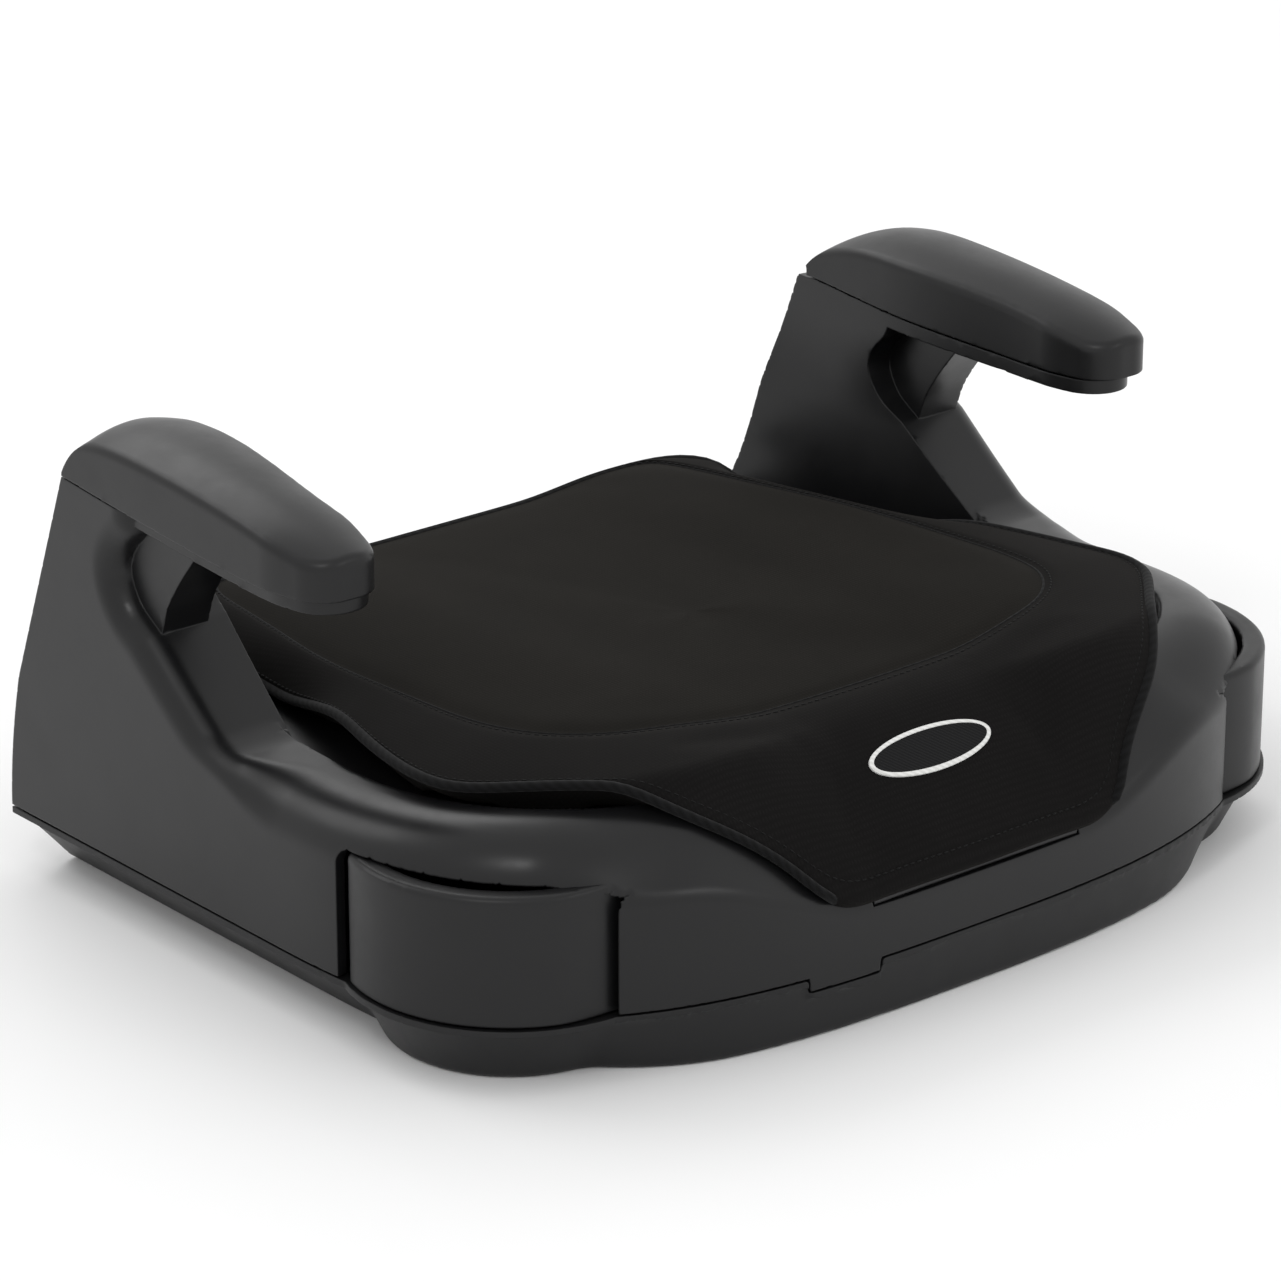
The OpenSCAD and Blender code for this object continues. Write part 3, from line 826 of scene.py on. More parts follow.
    def beam(self, x: Array, y: Array, z: Array) -> Array:
        """Shape the thin beam under an armrest cap, on the +X side.

        Args:
            x: Places across the seat.
            y: Places along the seat.
            z: Heights.

        Returns:
            The field.
        """
        sides = np.maximum(self.cap_inner(y) + self.cap_clearance - x,
                           x - self.cap_outer(y) + self.beam_inset)
        plan = round_max(sides, self.tip_y - y, self.tip_r)
        height = np.maximum(z - self.joint(y), self.joint(y) - self.beam_h - z)
        return np.maximum(np.maximum(plan, height), y - self.beam_rear_y)

    def web(self, x: Array, y: Array, z: Array) -> Array:
        """Web that closes the belt hook between its two pockets."""
        slab = np.maximum(self.web_inner_x - x, x - self.web_outer_x)
        return np.maximum(slab, outline_distance(self.web_outline, y, z) + 0 * x)

    def field(self, x: Array, y: Array, z: Array) -> Array:
        """Join the shell, its beams and webs, and cut the cup openings, slot and lower edge.

        Args:
            x: Places across the seat.
            y: Places along the seat.
            z: Heights.

        Returns:
            The field.
        """
        side = np.abs(x)
        solid = np.maximum(self.walls(x, y, z), z - self.joint(y))
        shell = np.maximum(solid, -(solid + self.wall))
        shell = np.minimum(shell, np.minimum(self.beam(side, y, z), self.web(side, y, z)))
        middle, half = (self.bay_front_y + self.bay_rear_y) / 2, (self.bay_rear_y - self.bay_front_y) / 2
        bay_top = self.bay_top_z - 4 * smooth((-126 - y) / 16)
        bay = round_max(np.abs(y - middle) - half, z - bay_top, 5)
        shell = np.maximum(shell, -np.maximum(bay, 70 - side))
        half_long, half_high = self.slot_half
        slot = np.maximum(np.abs(z - self.slot_z) - half_high, np.maximum(side - half_long, y + 159))
        shell = np.maximum(shell, -slot)
        return np.maximum(shell, self.plan.joint_line(x, y) + self.joint_gap - z)

    def build(self) -> bpy.types.Object:
        """Mesh the moulding and put it in place of its CAD node.

        Returns:
            The moulding.
        """
        low, high = box_mm("upper_shell")
        rim = Vector((4, 4, 7))
        obj = moulded("upper_shell_moulding", self.field, low - rim, high + rim, self.step,
                      self.finishes.shell, faces=97000)
        return place_on(obj, Body.SEAT, "shell", "upper_shell")


@dataclass
class ArmrestCaps:
    """The two crowned caps on the arms."""

    shell: UpperShell
    finishes: Finishes
    tip_y: float = -42.0
    crown: float = 4.5
    ridge_r: float = 2.6
    rear_r: float = 12.0
    joint_gap: float = 0.9
    step: float = 1.4

    def shoulder(self, y: Array) -> Array:
        """Height of the ridge between the cap's side and its crown."""
        return 200.1 - 0.00070 * np.clip(97 - y, 0, None) ** 2 - 0.004 * np.clip(y - 90, 0, None) ** 2

    def fall(self, y: Array) -> Array:
        """How far the crown has sunk towards the tip and the rear end."""
        return 2.5 * (np.clip(2 - y, 0, None) / 44) ** 2 + 4 * (np.clip(y - 72, 0, None) / 48) ** 2

    def field(self, x: Array, y: Array, z: Array) -> Array:
        """Shape one cap, on the +X side.

        Args:
            x: Places across the seat.
            y: Places along the seat.
            z: Heights.

        Returns:
            The field.
        """
        inner, outer = self.shell.cap_inner(y), self.shell.cap_outer(y)
        middle, half = (inner + outer) / 2, (outer - inner) / 2
        across = np.clip((x - middle) / half, -1, 1)
        joint = self.shell.joint(y)
        top = self.shoulder(y) + self.crown * (1 - across ** 2) - self.fall(y)
        roof = (z - top) / 1.05
        plan = round_max(np.maximum(inner - x, x - outer), self.tip_y - y, self.shell.tip_r)
        shape = round_max(plan, roof, self.ridge_r)
        rear = round_max(roof, self.shell.plan.behind(x, y, z), self.rear_r)
        return np.maximum(np.maximum(shape, rear), joint + self.joint_gap - z)

    def build(self, side: Side) -> bpy.types.Object:
        """Mesh one cap and put it in place of its CAD node.

        Args:
            side: The hand of the cap.

        Returns:
            The cap.
        """
        name = f"{side.name.lower()}_armrest_cap"
        low, high = box_mm(name)
        rim = Vector((3, 3, 4))
        obj = moulded(f"{name}_moulding", lambda x, y, z: self.field(side.value * x, y, z),
                      low - rim, high + rim, self.step, self.finishes.cap)
        return place_on(obj, Body.SEAT, "cap", name)


@dataclass
class BaseShell:
    """The lower moulding with its tapered wall and the shelf under each cup holder."""

    plan: SeatPlan
    finishes: Finishes
    lip_h: float = 2.6
    wall: float = 4.0
    shelf_r: float = 66.0
    foot_r: float = 49.0
    side_taper: float = 24.0
    front_taper: float = 5.0
    rear_taper: float = 9.0
    foot_edge_r: float = 2.5
    cup_centre: tuple[float, float] = (156.0, -78.4)
    step: float = 1.6

    def solid(self, x: Array, y: Array, z: Array, skin: float) -> Array:
        """Solid form of the base, shrunk by skin.

        Args:
            x: Places across the seat.
            y: Places along the seat.
            z: Heights.
            skin: How far to shrink it.

        Returns:
            The field.
        """
        plan, top = self.plan, self.plan.parting_z
        rim = top - self.lip_h
        fall = np.clip((rim - z) / rim, 0, 1)
        share = lerp(0.1, 1.0, fall ** 0.9)
        taper = lerp(self.side_taper, self.front_taper, smooth((plan.turn(x, y) - 18) / 34)) * share
        walls = np.maximum(taper - plan.inset(x, y), y - plan.rear(x, z) + self.rear_taper * share)
        radius = np.hypot(np.abs(x) - self.cup_centre[0], y - self.cup_centre[1])
        shelf = radius - lerp(self.foot_r, self.shelf_r - 5, 1 - fall)
        walls = round_min(walls, shelf, 3) if skin == 0 else np.minimum(walls, shelf)
        lip = np.minimum(np.maximum(-plan.inset(x, y), y - plan.rear(x, z)), radius - self.shelf_r)
        lip = np.maximum(lip, plan.joint_line(x, y) - self.lip_h - z)
        return np.minimum(walls, lip) + skin

    def field(self, x: Array, y: Array, z: Array) -> Array:
        """Hollow the solid and cut its upper edge.

        Args:
            x: Places across the seat.
            y: Places along the seat.
            z: Heights.

        Returns:
            The field.
        """
        outer = round_max(self.solid(x, y, z, 0), -z, self.foot_edge_r)
        inner = np.maximum(self.solid(x, y, z, self.wall), self.wall - z)
        return np.maximum(np.maximum(outer, -inner), z - self.plan.joint_line(x, y))

    def build(self) -> bpy.types.Object:
        """Mesh the moulding and put it in place of its CAD node.

        Returns:
            The moulding.
        """
        low, high = box_mm("base_shell")
        rim = Vector((3, 3, 3))
        obj = moulded("base_shell_moulding", self.field, low - rim, high + rim, self.step,
                      self.finishes.base, faces=90000)
        return place_on(obj, Body.SEAT, "base", "base_shell")


@dataclass
class CupHolders:
    """The two hideaway cup holders, each a round well on a flat tail."""

    finishes: Finishes
    centre: tuple[float, float] = (156.0, -78.4)
    radius: float = 64.5
    lip: float = 9.5
    floor_h: float = 3.0
    wall: float = 3.0
    well_in: float = 44.0
    tail_h: float = 12.0
    tail_wall: float = 6.0
    rim_under: float = 4.5
    step: float = 1.5

    def field(self, x: Array, y: Array, z: Array, low: Vector, high: Vector) -> Array:
        """Shape one holder, on the +X side.

        Args:
            x: Places across the seat.
            y: Places along the seat.
            z: Heights.
            low: Lowest corner of the CAD node, mirrored to +X.
            high: Highest corner of it.

        Returns:
            The field.
        """
        round_end = np.hypot(x - self.centre[0], y - self.centre[1]) - self.radius
        sides = np.maximum(low.y - y, y - high.y)
        plan = round_max(round_end, sides, 5)
        wide = round_max(plan, low.x + self.well_in - x, 6)
        body = round_max(wide, z - high.z, 2.6)
        well = np.maximum(wide + self.lip, low.z + self.floor_h - z)
        body = round_max(body, -round_max(wide + self.lip, low.z + self.floor_h - z, 6), 2.2)
        ring = np.maximum(wide + self.wall, -(wide + self.lip - self.wall))
        hollow = np.maximum(ring, z - high.z + self.rim_under)
        body = np.maximum(body, -hollow)
        tail_end = low.x + self.well_in + 2
        tail = np.maximum(np.maximum(sides, z - low.z - self.tail_h), np.maximum(low.x - x, x - tail_end))
        recess = np.maximum(np.maximum(sides, low.x - x) + self.tail_wall,
                            np.maximum(x - tail_end + 8, z - low.z - self.tail_h + self.wall))
        tail = np.maximum(tail, -recess)
        return np.maximum(np.minimum(body, np.maximum(tail, -well)), low.z - z)

    def build(self, side: Side) -> bpy.types.Object:
        """Mesh one holder and put it in place of its CAD node.

        Args:
            side: The hand of the holder.

        Returns:
            The holder.
        """
        name = f"{side.name.lower()}_cup_holder"
        low, high = box_mm(name)
        near = Vector((min(abs(low.x), abs(high.x)), low.y, low.z))
        far = Vector((max(abs(low.x), abs(high.x)), high.y, high.z))
        rim = Vector((3, 3, 3))
        obj = moulded(f"{name}_moulding",
                      lambda x, y, z: self.field(side.value * x, y, z, near, far),
                      low - rim, high + rim, self.step, self.finishes.cup)
        return place_on(obj, Body.LEFT_CUP if side is Side.LEFT else Body.RIGHT_CUP, "cup", name)


# ------------------------------------------------------------------ cushion


@dataclass
class SeatCushion:
    """The padded cover: centre panel, border and the flap that falls over the front."""

    plan: SeatPlan
    finishes: Finishes
    around: int = 240
    panel_rings: int = 22
    border_rings: int = 14
    swell_mm: float = 4.0
    swell_frames: int = 20
    rear_crown_z: float = 95.0
    front_crown_z: float = 106.0
    cover_t: float = 4.6
    stitch_pitch: float = 3.4

    def __post_init__(self) -> None:
        """Work out the two outlines, round the same centre."""
        front = self.plan.front_y
        half = [(0, 168), (112, 169), (138, 166), (147, 120), (151, 80), (157, 48), (167, 12),
                (177, -22), (184, -59), (180, -76), (167, -90), (143, -115), (120, -141), (99, -152),
                (84, -160), (74, front - 0.5), (0, front - 1.8)]
        seam = [(0, 168.5), (110, 169), (121, 165), (130, 110), (140, 60), (141, 0), (141, -36),
                (134, -64), (112, -85), (70, -97), (0, -99)]
        self.edge_reach = self.reaches(rounded(self.mirrored(half), 14))
        self.seam_reach = self.reaches(rounded(self.mirrored(seam), 30))

    @staticmethod
    def mirrored(half: Sequence[tuple[float, float]]) -> list[tuple[float, float]]:
        """Close a right-hand outline with its mirror image."""
        return list(half) + [(-x, y) for x, y in reversed(half) if x]

    def reaches(self, outline: Array) -> Array:
        """Measure from the centre to an outline along each spoke.

        Args:
            outline: Points of the outline.

        Returns:
            The distances.
        """
        turn = np.degrees(np.arctan2(outline[:, 1], outline[:, 0])) % 360
        order = np.argsort(turn)
        dense = []
        for a, b in zip(outline[order], np.roll(outline[order], -1, axis=0)):
            dense.extend(a + (b - a) * t for t in np.linspace(0, 1, 12, endpoint=False))
        dense = np.array(dense)
        turn = np.degrees(np.arctan2(dense[:, 1], dense[:, 0])) % 360
        order = np.argsort(turn)
        return np.interp(self.directions(), turn[order], np.hypot(*dense.T)[order], period=360)

    def directions(self) -> Array:
        """Directions of the spokes, in degrees, evenly spaced."""
        return np.arange(self.around) * 360 / self.around

    def top(self, x: Array, y: Array) -> Array:
        """Find the height of the crowned top, and of the flap on the front slope.

        Args:
            x: Places across the seat.
            y: Places along the seat.

        Returns:
            The heights.
        """
        rearward = np.clip((y + 60) / 230, 0, None)
        middle = lerp(self.front_crown_z, self.rear_crown_z, rearward)
        side = smooth((np.abs(x) - 45) / 50)
        edge = np.clip((np.abs(x) - 110) / 70, 0, 1)
        crowned = middle + 3.5 * side * (1 - 1.6 * edge ** 2)
        return -round_max(-crowned, -self.slope(x, y, self.cover_t), 14)

    def slope(self, x: Array, y: Array, above: float) -> Array:
        """Find the height of the shell's front slope, raised by a distance above it.

        Args:
            x: Places across the seat.
            y: Places along the seat.
            above: Distance above the slope, square to it.

        Returns:
            The heights, and 200 where the rim isn't a slope.
        """
        plan = self.plan
        wall, reach = plan.wall_top(x, y), plan.reach(x, y)
        rise = plan.crest(x, y) - wall
        steep = np.hypot(rise, reach) / reach
        front = wall + plan.inset(x, y) * rise / reach + above * steep
        return np.where(plan.slope_share(x, y) > 0.02, front, 200.0)

    def bottom(self, x: Array, y: Array) -> Array:
        """Find the height of the underside, which lies on the deck and the front slope.

        Args:
            x: Places across the seat.
            y: Places along the seat.

        Returns:
            The heights.
        """
        inset, reach = self.plan.inset(x, y), self.plan.reach(x, y)
        over = np.minimum(self.slope(x, y, 1.0), self.plan.crest(x, y) + 0.8)
        return np.where(inset < reach + 9, over, self.plan.deck(y) + 0.5)

    def rings(self) -> tuple[Array, int]:
        """Points of the top, ring by ring from the centre out.

        Returns:
            An array of rings by spokes by x, y and z, and the number of the seam's ring.
        """
        turn = np.radians(self.directions())
        way = np.stack([np.cos(turn), np.sin(turn)], axis=1)
        inner = np.linspace(0.04, 1, self.panel_rings) ** 0.9
        outer = np.linspace(0, 1, self.border_rings + 1)[1:]
        rows = []
        for share in inner:
            rows.append(self.seam_reach * share)
        for share in outer:
            rows.append(lerp(self.seam_reach, self.edge_reach, share))
        points = []
        for k, reach in enumerate(rows):
            x, y = (way * reach[:, None]).T
            z = self.top(x, y)
            share = max(0.0, (k - self.panel_rings + 1) / self.border_rings)
            drop = 12 * smooth((y - 5) / 70) * smooth((150 - y) / 25) + 1.5
            points.append(np.stack([x, y, z - drop * share ** 2.4], axis=1))
        return np.array(points), self.panel_rings - 1

    def build(self) -> dict[str, bpy.types.Object]:
        """Build the padded cover, its seam cord, binding and stitches.

        Returns:
            The pieces by name.
        """
        rings, seam = self.rings()
        edge = rings[-1]
        under = self.bottom(edge[:, 0], edge[:, 1])
        under = np.minimum(under, edge[:, 2] - 2.4)
        centre = np.array([0.0, 20.0])
        inwards = centre - edge[:, :2]
        inwards /= np.linalg.norm(inwards, axis=1)[:, None]
        tall = np.clip((edge[:, 2] - under) / 14, 0, 1)
        skirt = []
        for t in (0.35, 0.7, 1.0):
            shift = inwards * (11 * tall * math.sin(math.pi * 0.5 * t))[:, None]
            skirt.append(np.column_stack([edge[:, :2] + shift, lerp(edge[:, 2], under, t)]))
        flat = []
        for share in (0.93, 0.84, 0.7, 0.5, 0.25, 0.06):
            x, y = (skirt[-1][:, :2] * share).T
            flat.append(np.column_stack([x, y, self.bottom(x, y)]))
        layers = np.concatenate([rings, skirt, flat])
        spokes = self.around
        vertices = np.concatenate([layers.reshape(-1, 3), [[0, 0, self.top(np.zeros(1), np.zeros(1))[0]]],
                                   [[0, 0, self.plan.deck(0) + 0.5]]])
        faces, panel = [], []
        crown, foot = len(vertices) - 2, len(vertices) - 1
        for j in range(spokes):
            nxt = (j + 1) % spokes
            faces.append((crown, j, nxt))
            panel.append(True)
            for k in range(len(layers) - 1):
                a, b = k * spokes + j, k * spokes + nxt
                faces.append((a, a + spokes, b + spokes, b))
                panel.append(k < seam)
            last = (len(layers) - 1) * spokes
            faces.append((foot, last + nxt, last + j))
            panel.append(False)
        cover = new_object("padded_cover", vertices, faces, [self.finishes.border, self.finishes.panel])
        cover.data.polygons.foreach_set("material_index", np.array(panel, int))
        held = set(range(seam * spokes, (seam + 1) * spokes))
        held |= set(range((len(rings) - 1) * spokes, len(vertices))) - {crown}
        self.swell(cover, sorted(held))
        self.sew(cover, seam)
        smoother = cover.modifiers.new("smoother", "SUBSURF")
        smoother.levels = smoother.render_levels = 1
        moved = np.array([v.co for v in cover.data.vertices]) / MM
        apply_modifiers(cover)
        cover.data.polygons.foreach_set("use_smooth", [True] * len(cover.data.polygons))
        place_on(cover, Body.SEAT, "panel_fabric", "seat_foam", "cover_centre_panel", "cover_border",
                 "front_flap")
        LOG.info("padded cover: %d faces", len(cover.data.polygons))
        top = moved[:len(rings) * spokes].reshape(len(rings), spokes, 3)
        return {"cover": cover, **self.trim(top, seam)}

    def swell(self, cover: bpy.types.Object, held: Sequence[int]) -> None:
        """Blow the cover up a little between its seams, as its filling does.

        Args:
            cover: The closed cover mesh.
            held: Vertices that are sewn down and stay.
        """
        start = np.array([v.co for v in cover.data.vertices])
        group = cover.vertex_groups.new(name="sewn")
        group.add(list(held), 1.0, "REPLACE")
        cloth = cover.modifiers.new("cloth", "CLOTH")
        cloth.settings.vertex_group_mass = "sewn"
        cloth.settings.quality = 5
        cloth.settings.tension_stiffness = 40
        cloth.settings.use_pressure = True
        cloth.settings.uniform_pressure_force = 3.0
        cloth.settings.effector_weights.gravity = 0
        cloth.point_cache.frame_start, cloth.point_cache.frame_end = 1, self.swell_frames
        for number in range(1, self.swell_frames + 1):
            bpy.context.scene.frame_set(number)
        graph = bpy.context.evaluated_depsgraph_get()
        mesh = cover.evaluated_get(graph).to_mesh()
        end = np.array([v.co for v in mesh.vertices])
        cover.evaluated_get(graph).to_mesh_clear()
        cover.modifiers.clear()
        cover.vertex_groups.clear()
        bpy.context.scene.frame_set(1)
        move = end - start
        length = np.maximum(np.linalg.norm(move, axis=1, keepdims=True), 1e-9)
        limit = self.swell_mm * MM
        move *= limit * np.tanh(length / limit) / length
        cover.data.vertices.foreach_set("co", (start + move).ravel())
        cover.data.update()
        LOG.info("cover swelled by up to %.1f mm", np.linalg.norm(move, axis=1).max() / MM)

    def sew(self, cover: bpy.types.Object, seam: int) -> None:
        """Draw the cover down along the seam of its centre panel.

        Args:
            cover: The cover mesh.
            seam: Number of the seam's ring.
        """
        sink = {seam: 1.5, seam - 1: 0.25, seam + 1: 0.5}
        for ring, depth in sink.items():
            for j in range(self.around):
                cover.data.vertices[ring * self.around + j].co.z -= depth * MM

    def trim(self, top: Array, seam: int) -> dict[str, bpy.types.Object]:
        """Build the cord in the seam, the binding at the edge and their stitches.

        Args:
            top: Rings of the finished top, in millimetres.
            seam: Number of the seam's ring.

        Returns:
            The pieces by name.
        """
        cord = swept("centre_panel_piping_sewn", smoothed(top[seam]) + [0, 0, 0.1], oval(0.7, 0.7, 8),
                     self.finishes.tape)
        place_on(cord, Body.SEAT, "binding_tape", "centre_panel_piping")
        line = smoothed(top[-1]) + [0, 0, -0.6]
        tucked = smooth((76 - np.abs(line[:, 0])) / 8) * (line[:, 1] < -150)
        line += tucked[:, None] * np.array([0, 5.0, -0.8])
        binding = swept("edge_binding_tape", line, oval(2.3, 1.9, 12), self.finishes.tape)
        place_on(binding, Body.SEAT, "binding_tape", "cover_edge_binding")
        pieces = {"cord": cord, "binding": binding}
        rows = {"binding_stitches": (top[-2], 0.1), "panel_stitches": (top[seam + 1], 0.0)}
        for name, (row, raised) in rows.items():
            stitches = stitch_row(name, smoothed(row) + [0, 0, raised], self.stitch_pitch,
                                  self.finishes.thread)
            pieces[name] = place_on(stitches, Body.SEAT, "binding_tape")
        return pieces


def smoothed(ring: Array, rounds: int = 3) -> Array:
    """Even out a closed ring of points.

    Args:
        ring: The points, one row each.
        rounds: How often it is done.

    Returns:
        The evened points.
    """
    for _ in range(rounds):
        ring = 0.5 * ring + 0.25 * (np.roll(ring, 1, axis=0) + np.roll(ring, -1, axis=0))
    return ring


def oval(across: float, up: float, count: int) -> Array:
    """Points of an oval section: half widths across and up, in millimetres."""
    turn = np.arange(count) * math.tau / count
    return np.stack([across * np.cos(turn), up * np.sin(turn)], axis=1)


def swept(name: str, path: Array, section: Array, material: bpy.types.Material) -> bpy.types.Object:
    """Carry a closed section round a closed path.

    Args:
        name: Name of the piece.
        path: Points of the path in millimetres.
        section: Points of the section, across and up.
        material: Finish of the piece.

    Returns:
        The piece, with a UV map in metres along and round it.
    """
    ahead = np.roll(path, -1, axis=0) - np.roll(path, 1, axis=0)
    ahead /= np.linalg.norm(ahead, axis=1)[:, None]
    across = np.cross(ahead, [0, 0, 1])
    across /= np.linalg.norm(across, axis=1)[:, None]
    up = np.cross(across, ahead)
    vertices = (path[:, None] + across[:, None] * section[None, :, :1]
                + up[:, None] * section[None, :, 1:]).reshape(-1, 3)
    n, m = len(path), len(section)
    faces = [(i * m + j, i * m + (j + 1) % m, (i + 1) % n * m + (j + 1) % m, (i + 1) % n * m + j)
             for i in range(n) for j in range(m)]
    obj = new_object(name, vertices, faces, [material])
    run = np.concatenate([[0], np.cumsum(np.linalg.norm(np.roll(path, -1, axis=0) - path, axis=1))])
    girth = 2 * np.pi * np.abs(section).max()
    uv = obj.data.uv_layers.new(name="along")
    spots = [(run[i + a] * MM, (j + b) / m * girth * MM) for i in range(n) for j in range(m)
             for a, b in ((0, 0), (0, 1), (1, 1), (1, 0))]
    uv.data.foreach_set("uv", np.array(spots).ravel())
    outwards(obj)
    return obj


def outwards(obj: bpy.types.Object) -> None:
    """Turn every face of a closed mesh outwards.

    Args:
        obj: The piece.
    """
    mesh = bmesh.new()
    mesh.from_mesh(obj.data)
    bmesh.ops.recalc_face_normals(mesh, faces=mesh.faces)
    mesh.to_mesh(obj.data)
    mesh.free()


def new_tree(name: str, **sizes: float) -> tuple[bpy.types.NodeTree, bpy.types.Node, bpy.types.Node]:
    """Start a geometry tree with named number inputs.

    Args:
        name: Name of the tree.
        sizes: Default value of each named input.

    Returns:
        The tree, its input node and its output node.
    """
    tree = bpy.data.node_groups.new(name, "GeometryNodeTree")
    tree.interface.new_socket("Geometry", in_out="INPUT", socket_type="NodeSocketGeometry")
    tree.interface.new_socket("Geometry", in_out="OUTPUT", socket_type="NodeSocketGeometry")
    for key, value in sizes.items():
        socket = tree.interface.new_socket(key, in_out="INPUT", socket_type="NodeSocketFloat")
        socket.default_value = value
    return tree, add_node(tree, "NodeGroupInput"), add_node(tree, "NodeGroupOutput")


def run_tree(obj: bpy.types.Object, tree: bpy.types.NodeTree, **sizes: float) -> bpy.types.Object:
    """Apply a geometry tree to obj with its inputs set, and leave a plain mesh.

    Args:
        obj: Object that carries the points or the path.
        tree: The tree.
        sizes: Values of its named inputs.

    Returns:
        A mesh object of the same name.
    """
    modifier = obj.modifiers.new(tree.name, "NODES")
    modifier.node_group = tree
    for item in tree.interface.items_tree:
        if item.item_type == "SOCKET" and item.in_out == "INPUT" and item.name in sizes:
            modifier[item.identifier] = sizes[item.name]
    graph = bpy.context.evaluated_depsgraph_get()
    mesh = bpy.data.meshes.new_from_object(obj.evaluated_get(graph), depsgraph=graph)
    name = obj.name
    bpy.data.objects.remove(obj)
    result = bpy.data.objects.new(name, mesh)
    bpy.context.scene.collection.objects.link(result)
    return result


def stitch_row(name: str, path: Array, pitch: float, thread: bpy.types.Material) -> bpy.types.Object:
    """Lay a row of lock stitches along a closed path.

    Args:
        name: Name of the piece.
        path: Points of the path in millimetres.
        pitch: Distance from stitch to stitch in millimetres.
        thread: Finish of the thread.

    Returns:
        The stitches as one mesh.
    """
    mesh = bpy.data.meshes.new(name)
    count = len(path)
    mesh.from_pydata((path * MM).tolist(), [(i, (i + 1) % count) for i in range(count)], [])
    obj = bpy.data.objects.new(name, mesh)
    bpy.context.scene.collection.objects.link(obj)
    thread_r = 0.42 * MM
    tree, start, end = new_tree("lay_stitches", Pitch=pitch * MM, Thread=thread_r)
    line = add_node(tree, "GeometryNodeMeshToCurve", {"Mesh": start.outputs["Geometry"]})
    spots = add_node(tree, "GeometryNodeCurveToPoints", {
        "Curve": line.outputs["Curve"], "Length": start.outputs["Pitch"]}, mode="LENGTH")
    ball = add_node(tree, "GeometryNodeMeshUVSphere", {
        "Segments": 6, "Rings": 4, "Radius": start.outputs["Thread"]})
    half = add_node(tree, "ShaderNodeMath", {0: start.outputs["Pitch"], 1: 0.36}, operation="MULTIPLY")
    longer = add_node(tree, "ShaderNodeMath", {
        0: half.outputs[0], 1: start.outputs["Thread"]}, operation="DIVIDE")
    size = add_node(tree, "ShaderNodeCombineXYZ", {"X": 1.0, "Y": 0.8, "Z": longer.outputs[0]})
    laid = add_node(tree, "GeometryNodeInstanceOnPoints", {
        "Points": spots.outputs["Points"], "Instance": ball.outputs["Mesh"],
        "Rotation": spots.outputs["Rotation"], "Scale": size.outputs[0]})
    real = add_node(tree, "GeometryNodeRealizeInstances", {"Geometry": laid.outputs["Instances"]})
    done = add_node(tree, "GeometryNodeSetMaterial", {
        "Geometry": real.outputs["Geometry"], "Material": thread})
    tree.links.new(done.outputs["Geometry"], end.inputs["Geometry"])
    return run_tree(obj, tree, Pitch=pitch * MM, Thread=thread_r)


@dataclass
class WovenLabel:
    """A plain oval woven label on the flap, with a pale border and no lettering."""

    cover: bpy.types.Object
    finishes: Finishes
    border: float = 1.7
    points: int = 72
    thick: float = 1.0

    def cloth_height(self, x: Array, y: Array) -> Array:
        """Find the height of the finished cloth under each place.

        Args:
            x: Places across the seat.
            y: Places along the seat.

        Returns:
            The heights in millimetres.
        """
        mesh = self.cover.data
        tree = BVHTree.FromPolygons([v.co for v in mesh.vertices], [f.vertices[:] for f in mesh.polygons])
        hits = [tree.ray_cast(Vector((a * MM, b * MM, 0.3)), Vector((0, 0, -1)))[0] for a, b in zip(x, y)]
        return np.array([hit.z for hit in hits]) / MM

    def build(self) -> bpy.types.Object:
        """Build the label in place of its CAD node.

        Returns:
            The label.
        """
        low, high = box_mm("woven_label")
        centre, half_x = (low + high) / 2, (high.x - low.x) / 2
        half_y = (high.y - low.y) / 2 * math.sqrt(2) - 0.3
        turn = math.radians(45)
        loops = []
        for shrink, up in ((0, -0.5), (0, self.thick * 0.6), (0.5, self.thick), (self.border, self.thick),
                           (self.border + 0.3, self.thick * 0.72)):
            hx, hy = half_x - shrink, half_y - shrink
            loop = oval(hx, hy, self.points)
            loops.append(np.column_stack([loop, np.full(len(loop), up)]))
        points = np.concatenate(loops)
        x, v, w = points.T
        y = centre.y + v * math.cos(turn)
        flap = self.cloth_height(x, y)
        vertices = np.column_stack([x, y - w * math.sin(turn), flap + 0.2 + w * math.cos(turn)])
        n = len(loops[0])
        faces = [tuple(reversed(range(n)))]
        faces += [(k * n + j, k * n + (j + 1) % n, (k + 1) * n + (j + 1) % n, (k + 1) * n + j)
                  for k in range(len(loops) - 1) for j in range(n)]
        faces.append(tuple(range((len(loops) - 1) * n, len(loops) * n)))
        obj = new_object("plain_woven_label", vertices, faces,
                         [self.finishes.label_edge, self.finishes.label])
        obj.data.polygons[len(faces) - 1].material_index = 1
        obj.data.set_sharp_from_angle(angle=math.radians(40))
        uv = obj.data.uv_layers.new(name="weave")
        flat = points[[loop.vertex_index for loop in obj.data.loops], :2] * MM
        uv.data.foreach_set("uv", flat.ravel())
        outwards(obj)
        return place_on(obj, Body.SEAT, "label", "woven_label")


# ------------------------------------------------------------------ studio


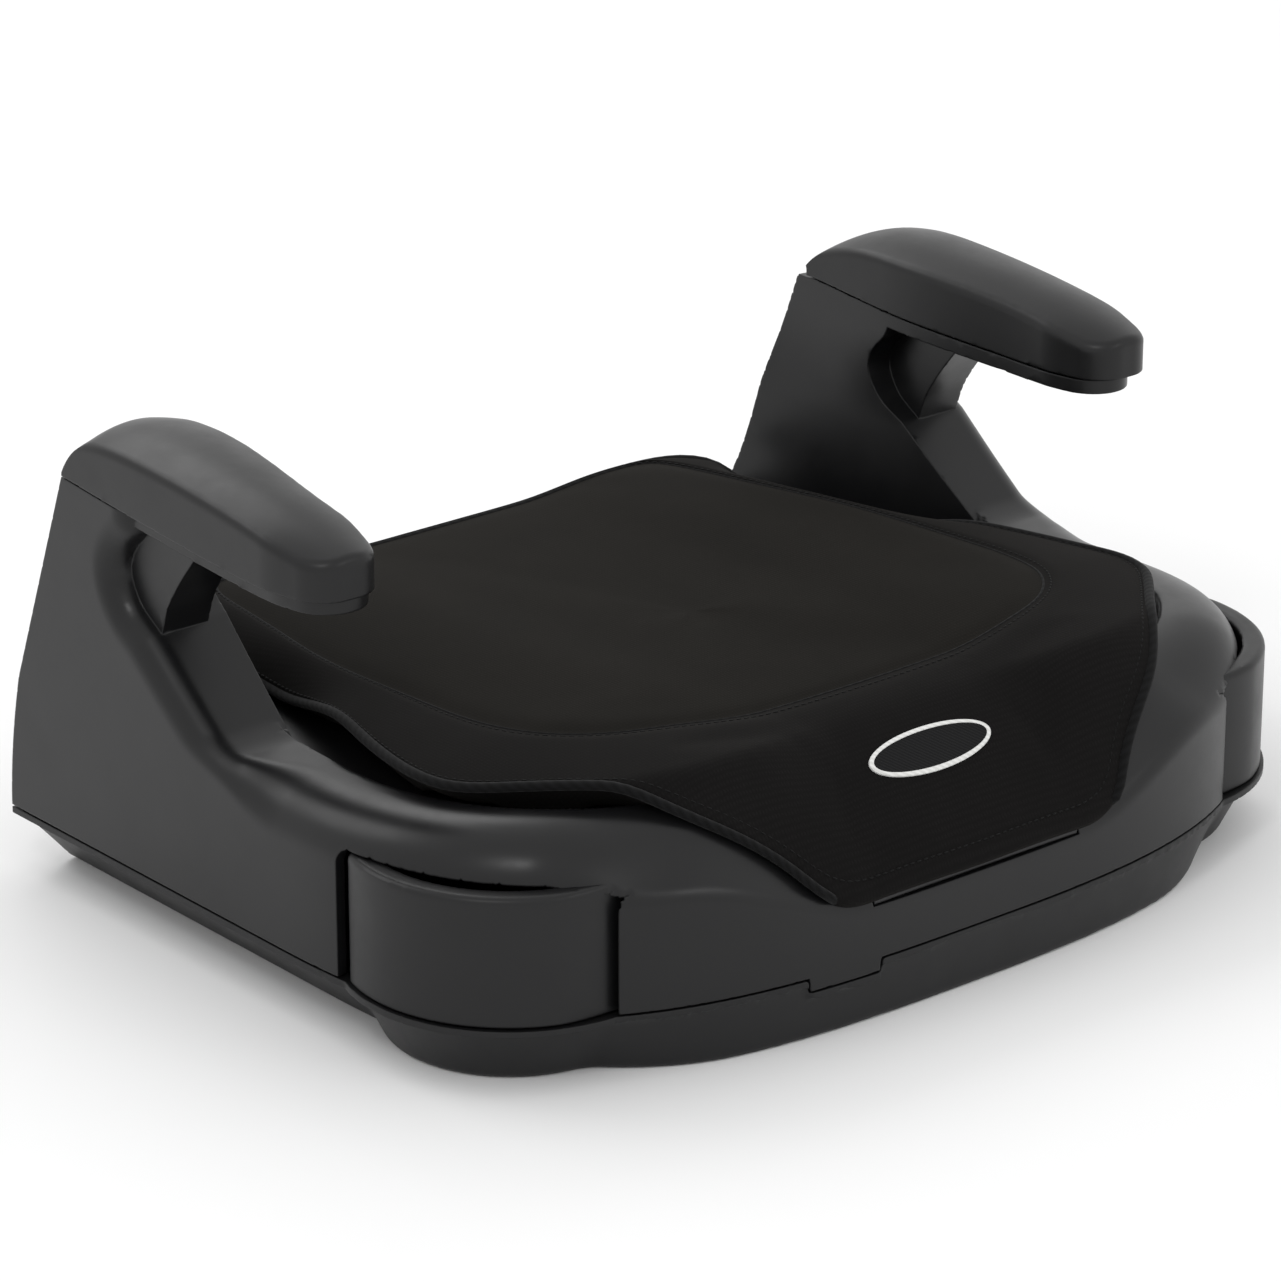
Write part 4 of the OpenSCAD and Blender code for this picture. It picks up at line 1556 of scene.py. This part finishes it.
@dataclass
class Studio:
    """Pale floor, soft lights and the camera."""

    camera_place: tuple[float, float, float] = (-1.3160, -1.5393, 0.8840)
    camera_way: tuple[float, float, float] = (0.5980, 0.7142, -0.3638)
    lens_mm: float = 152.24
    sensor_mm: float = 36.0
    floor_half_mm: float = 6000.0
    aim_m: tuple[float, float, float] = (0.0, 0.0, 0.08)
    daylight: float = 0.95

    def softbox(self, name: str, place: Sequence[float], size: tuple[float, float], power: float) -> None:
        """Hang one rectangular softbox that faces the seat.

        Args:
            name: Name of the light.
            place: Where it hangs, in metres.
            size: Its width and height in metres.
            power: Its power in watts.
        """
        light = bpy.data.lights.new(name, "AREA")
        light.shape, light.size, light.size_y, light.energy = "RECTANGLE", *size, power
        obj = bpy.data.objects.new(name, light)
        obj.location = place
        obj.rotation_euler = (Vector(self.aim_m) - Vector(place)).to_track_quat("-Z", "Y").to_euler()
        bpy.context.scene.collection.objects.link(obj)

    def build(self) -> None:
        """Set out the floor, lights, world and camera."""
        half = self.floor_half_mm
        corners = [[-half, -half, 0], [half, -half, 0], [half, half, 0], [-half, half, 0]]
        floor = new_object("pale_floor", np.array(corners), [(0, 1, 2, 3)], [])
        _, _, paint = new_material("matt_white_paint", Base_Color=linear("#f4f4f4"), Roughness=0.9,
                                   Specular_IOR_Level=0.1)
        floor.data.materials.append(paint)
        self.softbox("overhead", (-0.2, 1.5, 1.6), (2.2, 0.7), 11)
        self.softbox("key", (-1.5, -0.9, 1.9), (0.4, 0.4), 5)
        self.softbox("front", (0.6, -2.4, 1.5), (1.4, 0.5), 5)
        world = bpy.data.worlds.new("studio")
        world.use_nodes = True
        sky = world.node_tree.nodes["Background"]
        sky.inputs["Color"].default_value = linear("#ffffff")
        sky.inputs["Strength"].default_value = self.daylight
        bpy.context.scene.world = world
        data = bpy.data.cameras.new("camera")
        data.lens, data.sensor_width = self.lens_mm, self.sensor_mm
        camera = bpy.data.objects.new("camera", data)
        camera.location = self.camera_place
        camera.rotation_euler = Vector(self.camera_way).to_track_quat("-Z", "Y").to_euler()
        bpy.context.scene.collection.objects.link(camera)
        bpy.context.scene.camera = camera
        bpy.context.scene.view_settings.view_transform = "Standard"


def dress_small_parts(finishes: Finishes) -> None:
    """Give the small parts that stay as they are in the CAD their finishes.

    Args:
        finishes: The finishes of the seat.
    """
    chosen = {"left_armrest_screws": finishes.steel, "right_armrest_screws": finishes.steel,
              "base_screws": finishes.steel, "flap_tuck_strip": finishes.strip,
              "left_elastic_loops": finishes.elastic, "right_elastic_loops": finishes.elastic,
              "rear_elastic_loops": finishes.elastic}
    for name, finish in chosen.items():
        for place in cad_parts[name].material_slots:
            place.material = finish


def main() -> None:
    """Build the seat piece by piece, then the studio."""
    logging.basicConfig(level=logging.INFO, format="%(message)s")
    finishes, plan = Finishes.make(), SeatPlan.from_frame()
    shell = UpperShell(plan, finishes)
    shell.build()
    BaseShell(plan, finishes).build()
    caps, cups = ArmrestCaps(shell, finishes), CupHolders(finishes)
    for side in Side:
        caps.build(side)
        cups.build(side)
    cushion = SeatCushion(plan, finishes)
    cover = cushion.build()["cover"]
    WovenLabel(cover, finishes).build()
    dress_small_parts(finishes)
    Studio().build()


if __name__ == "__main__":
    main()
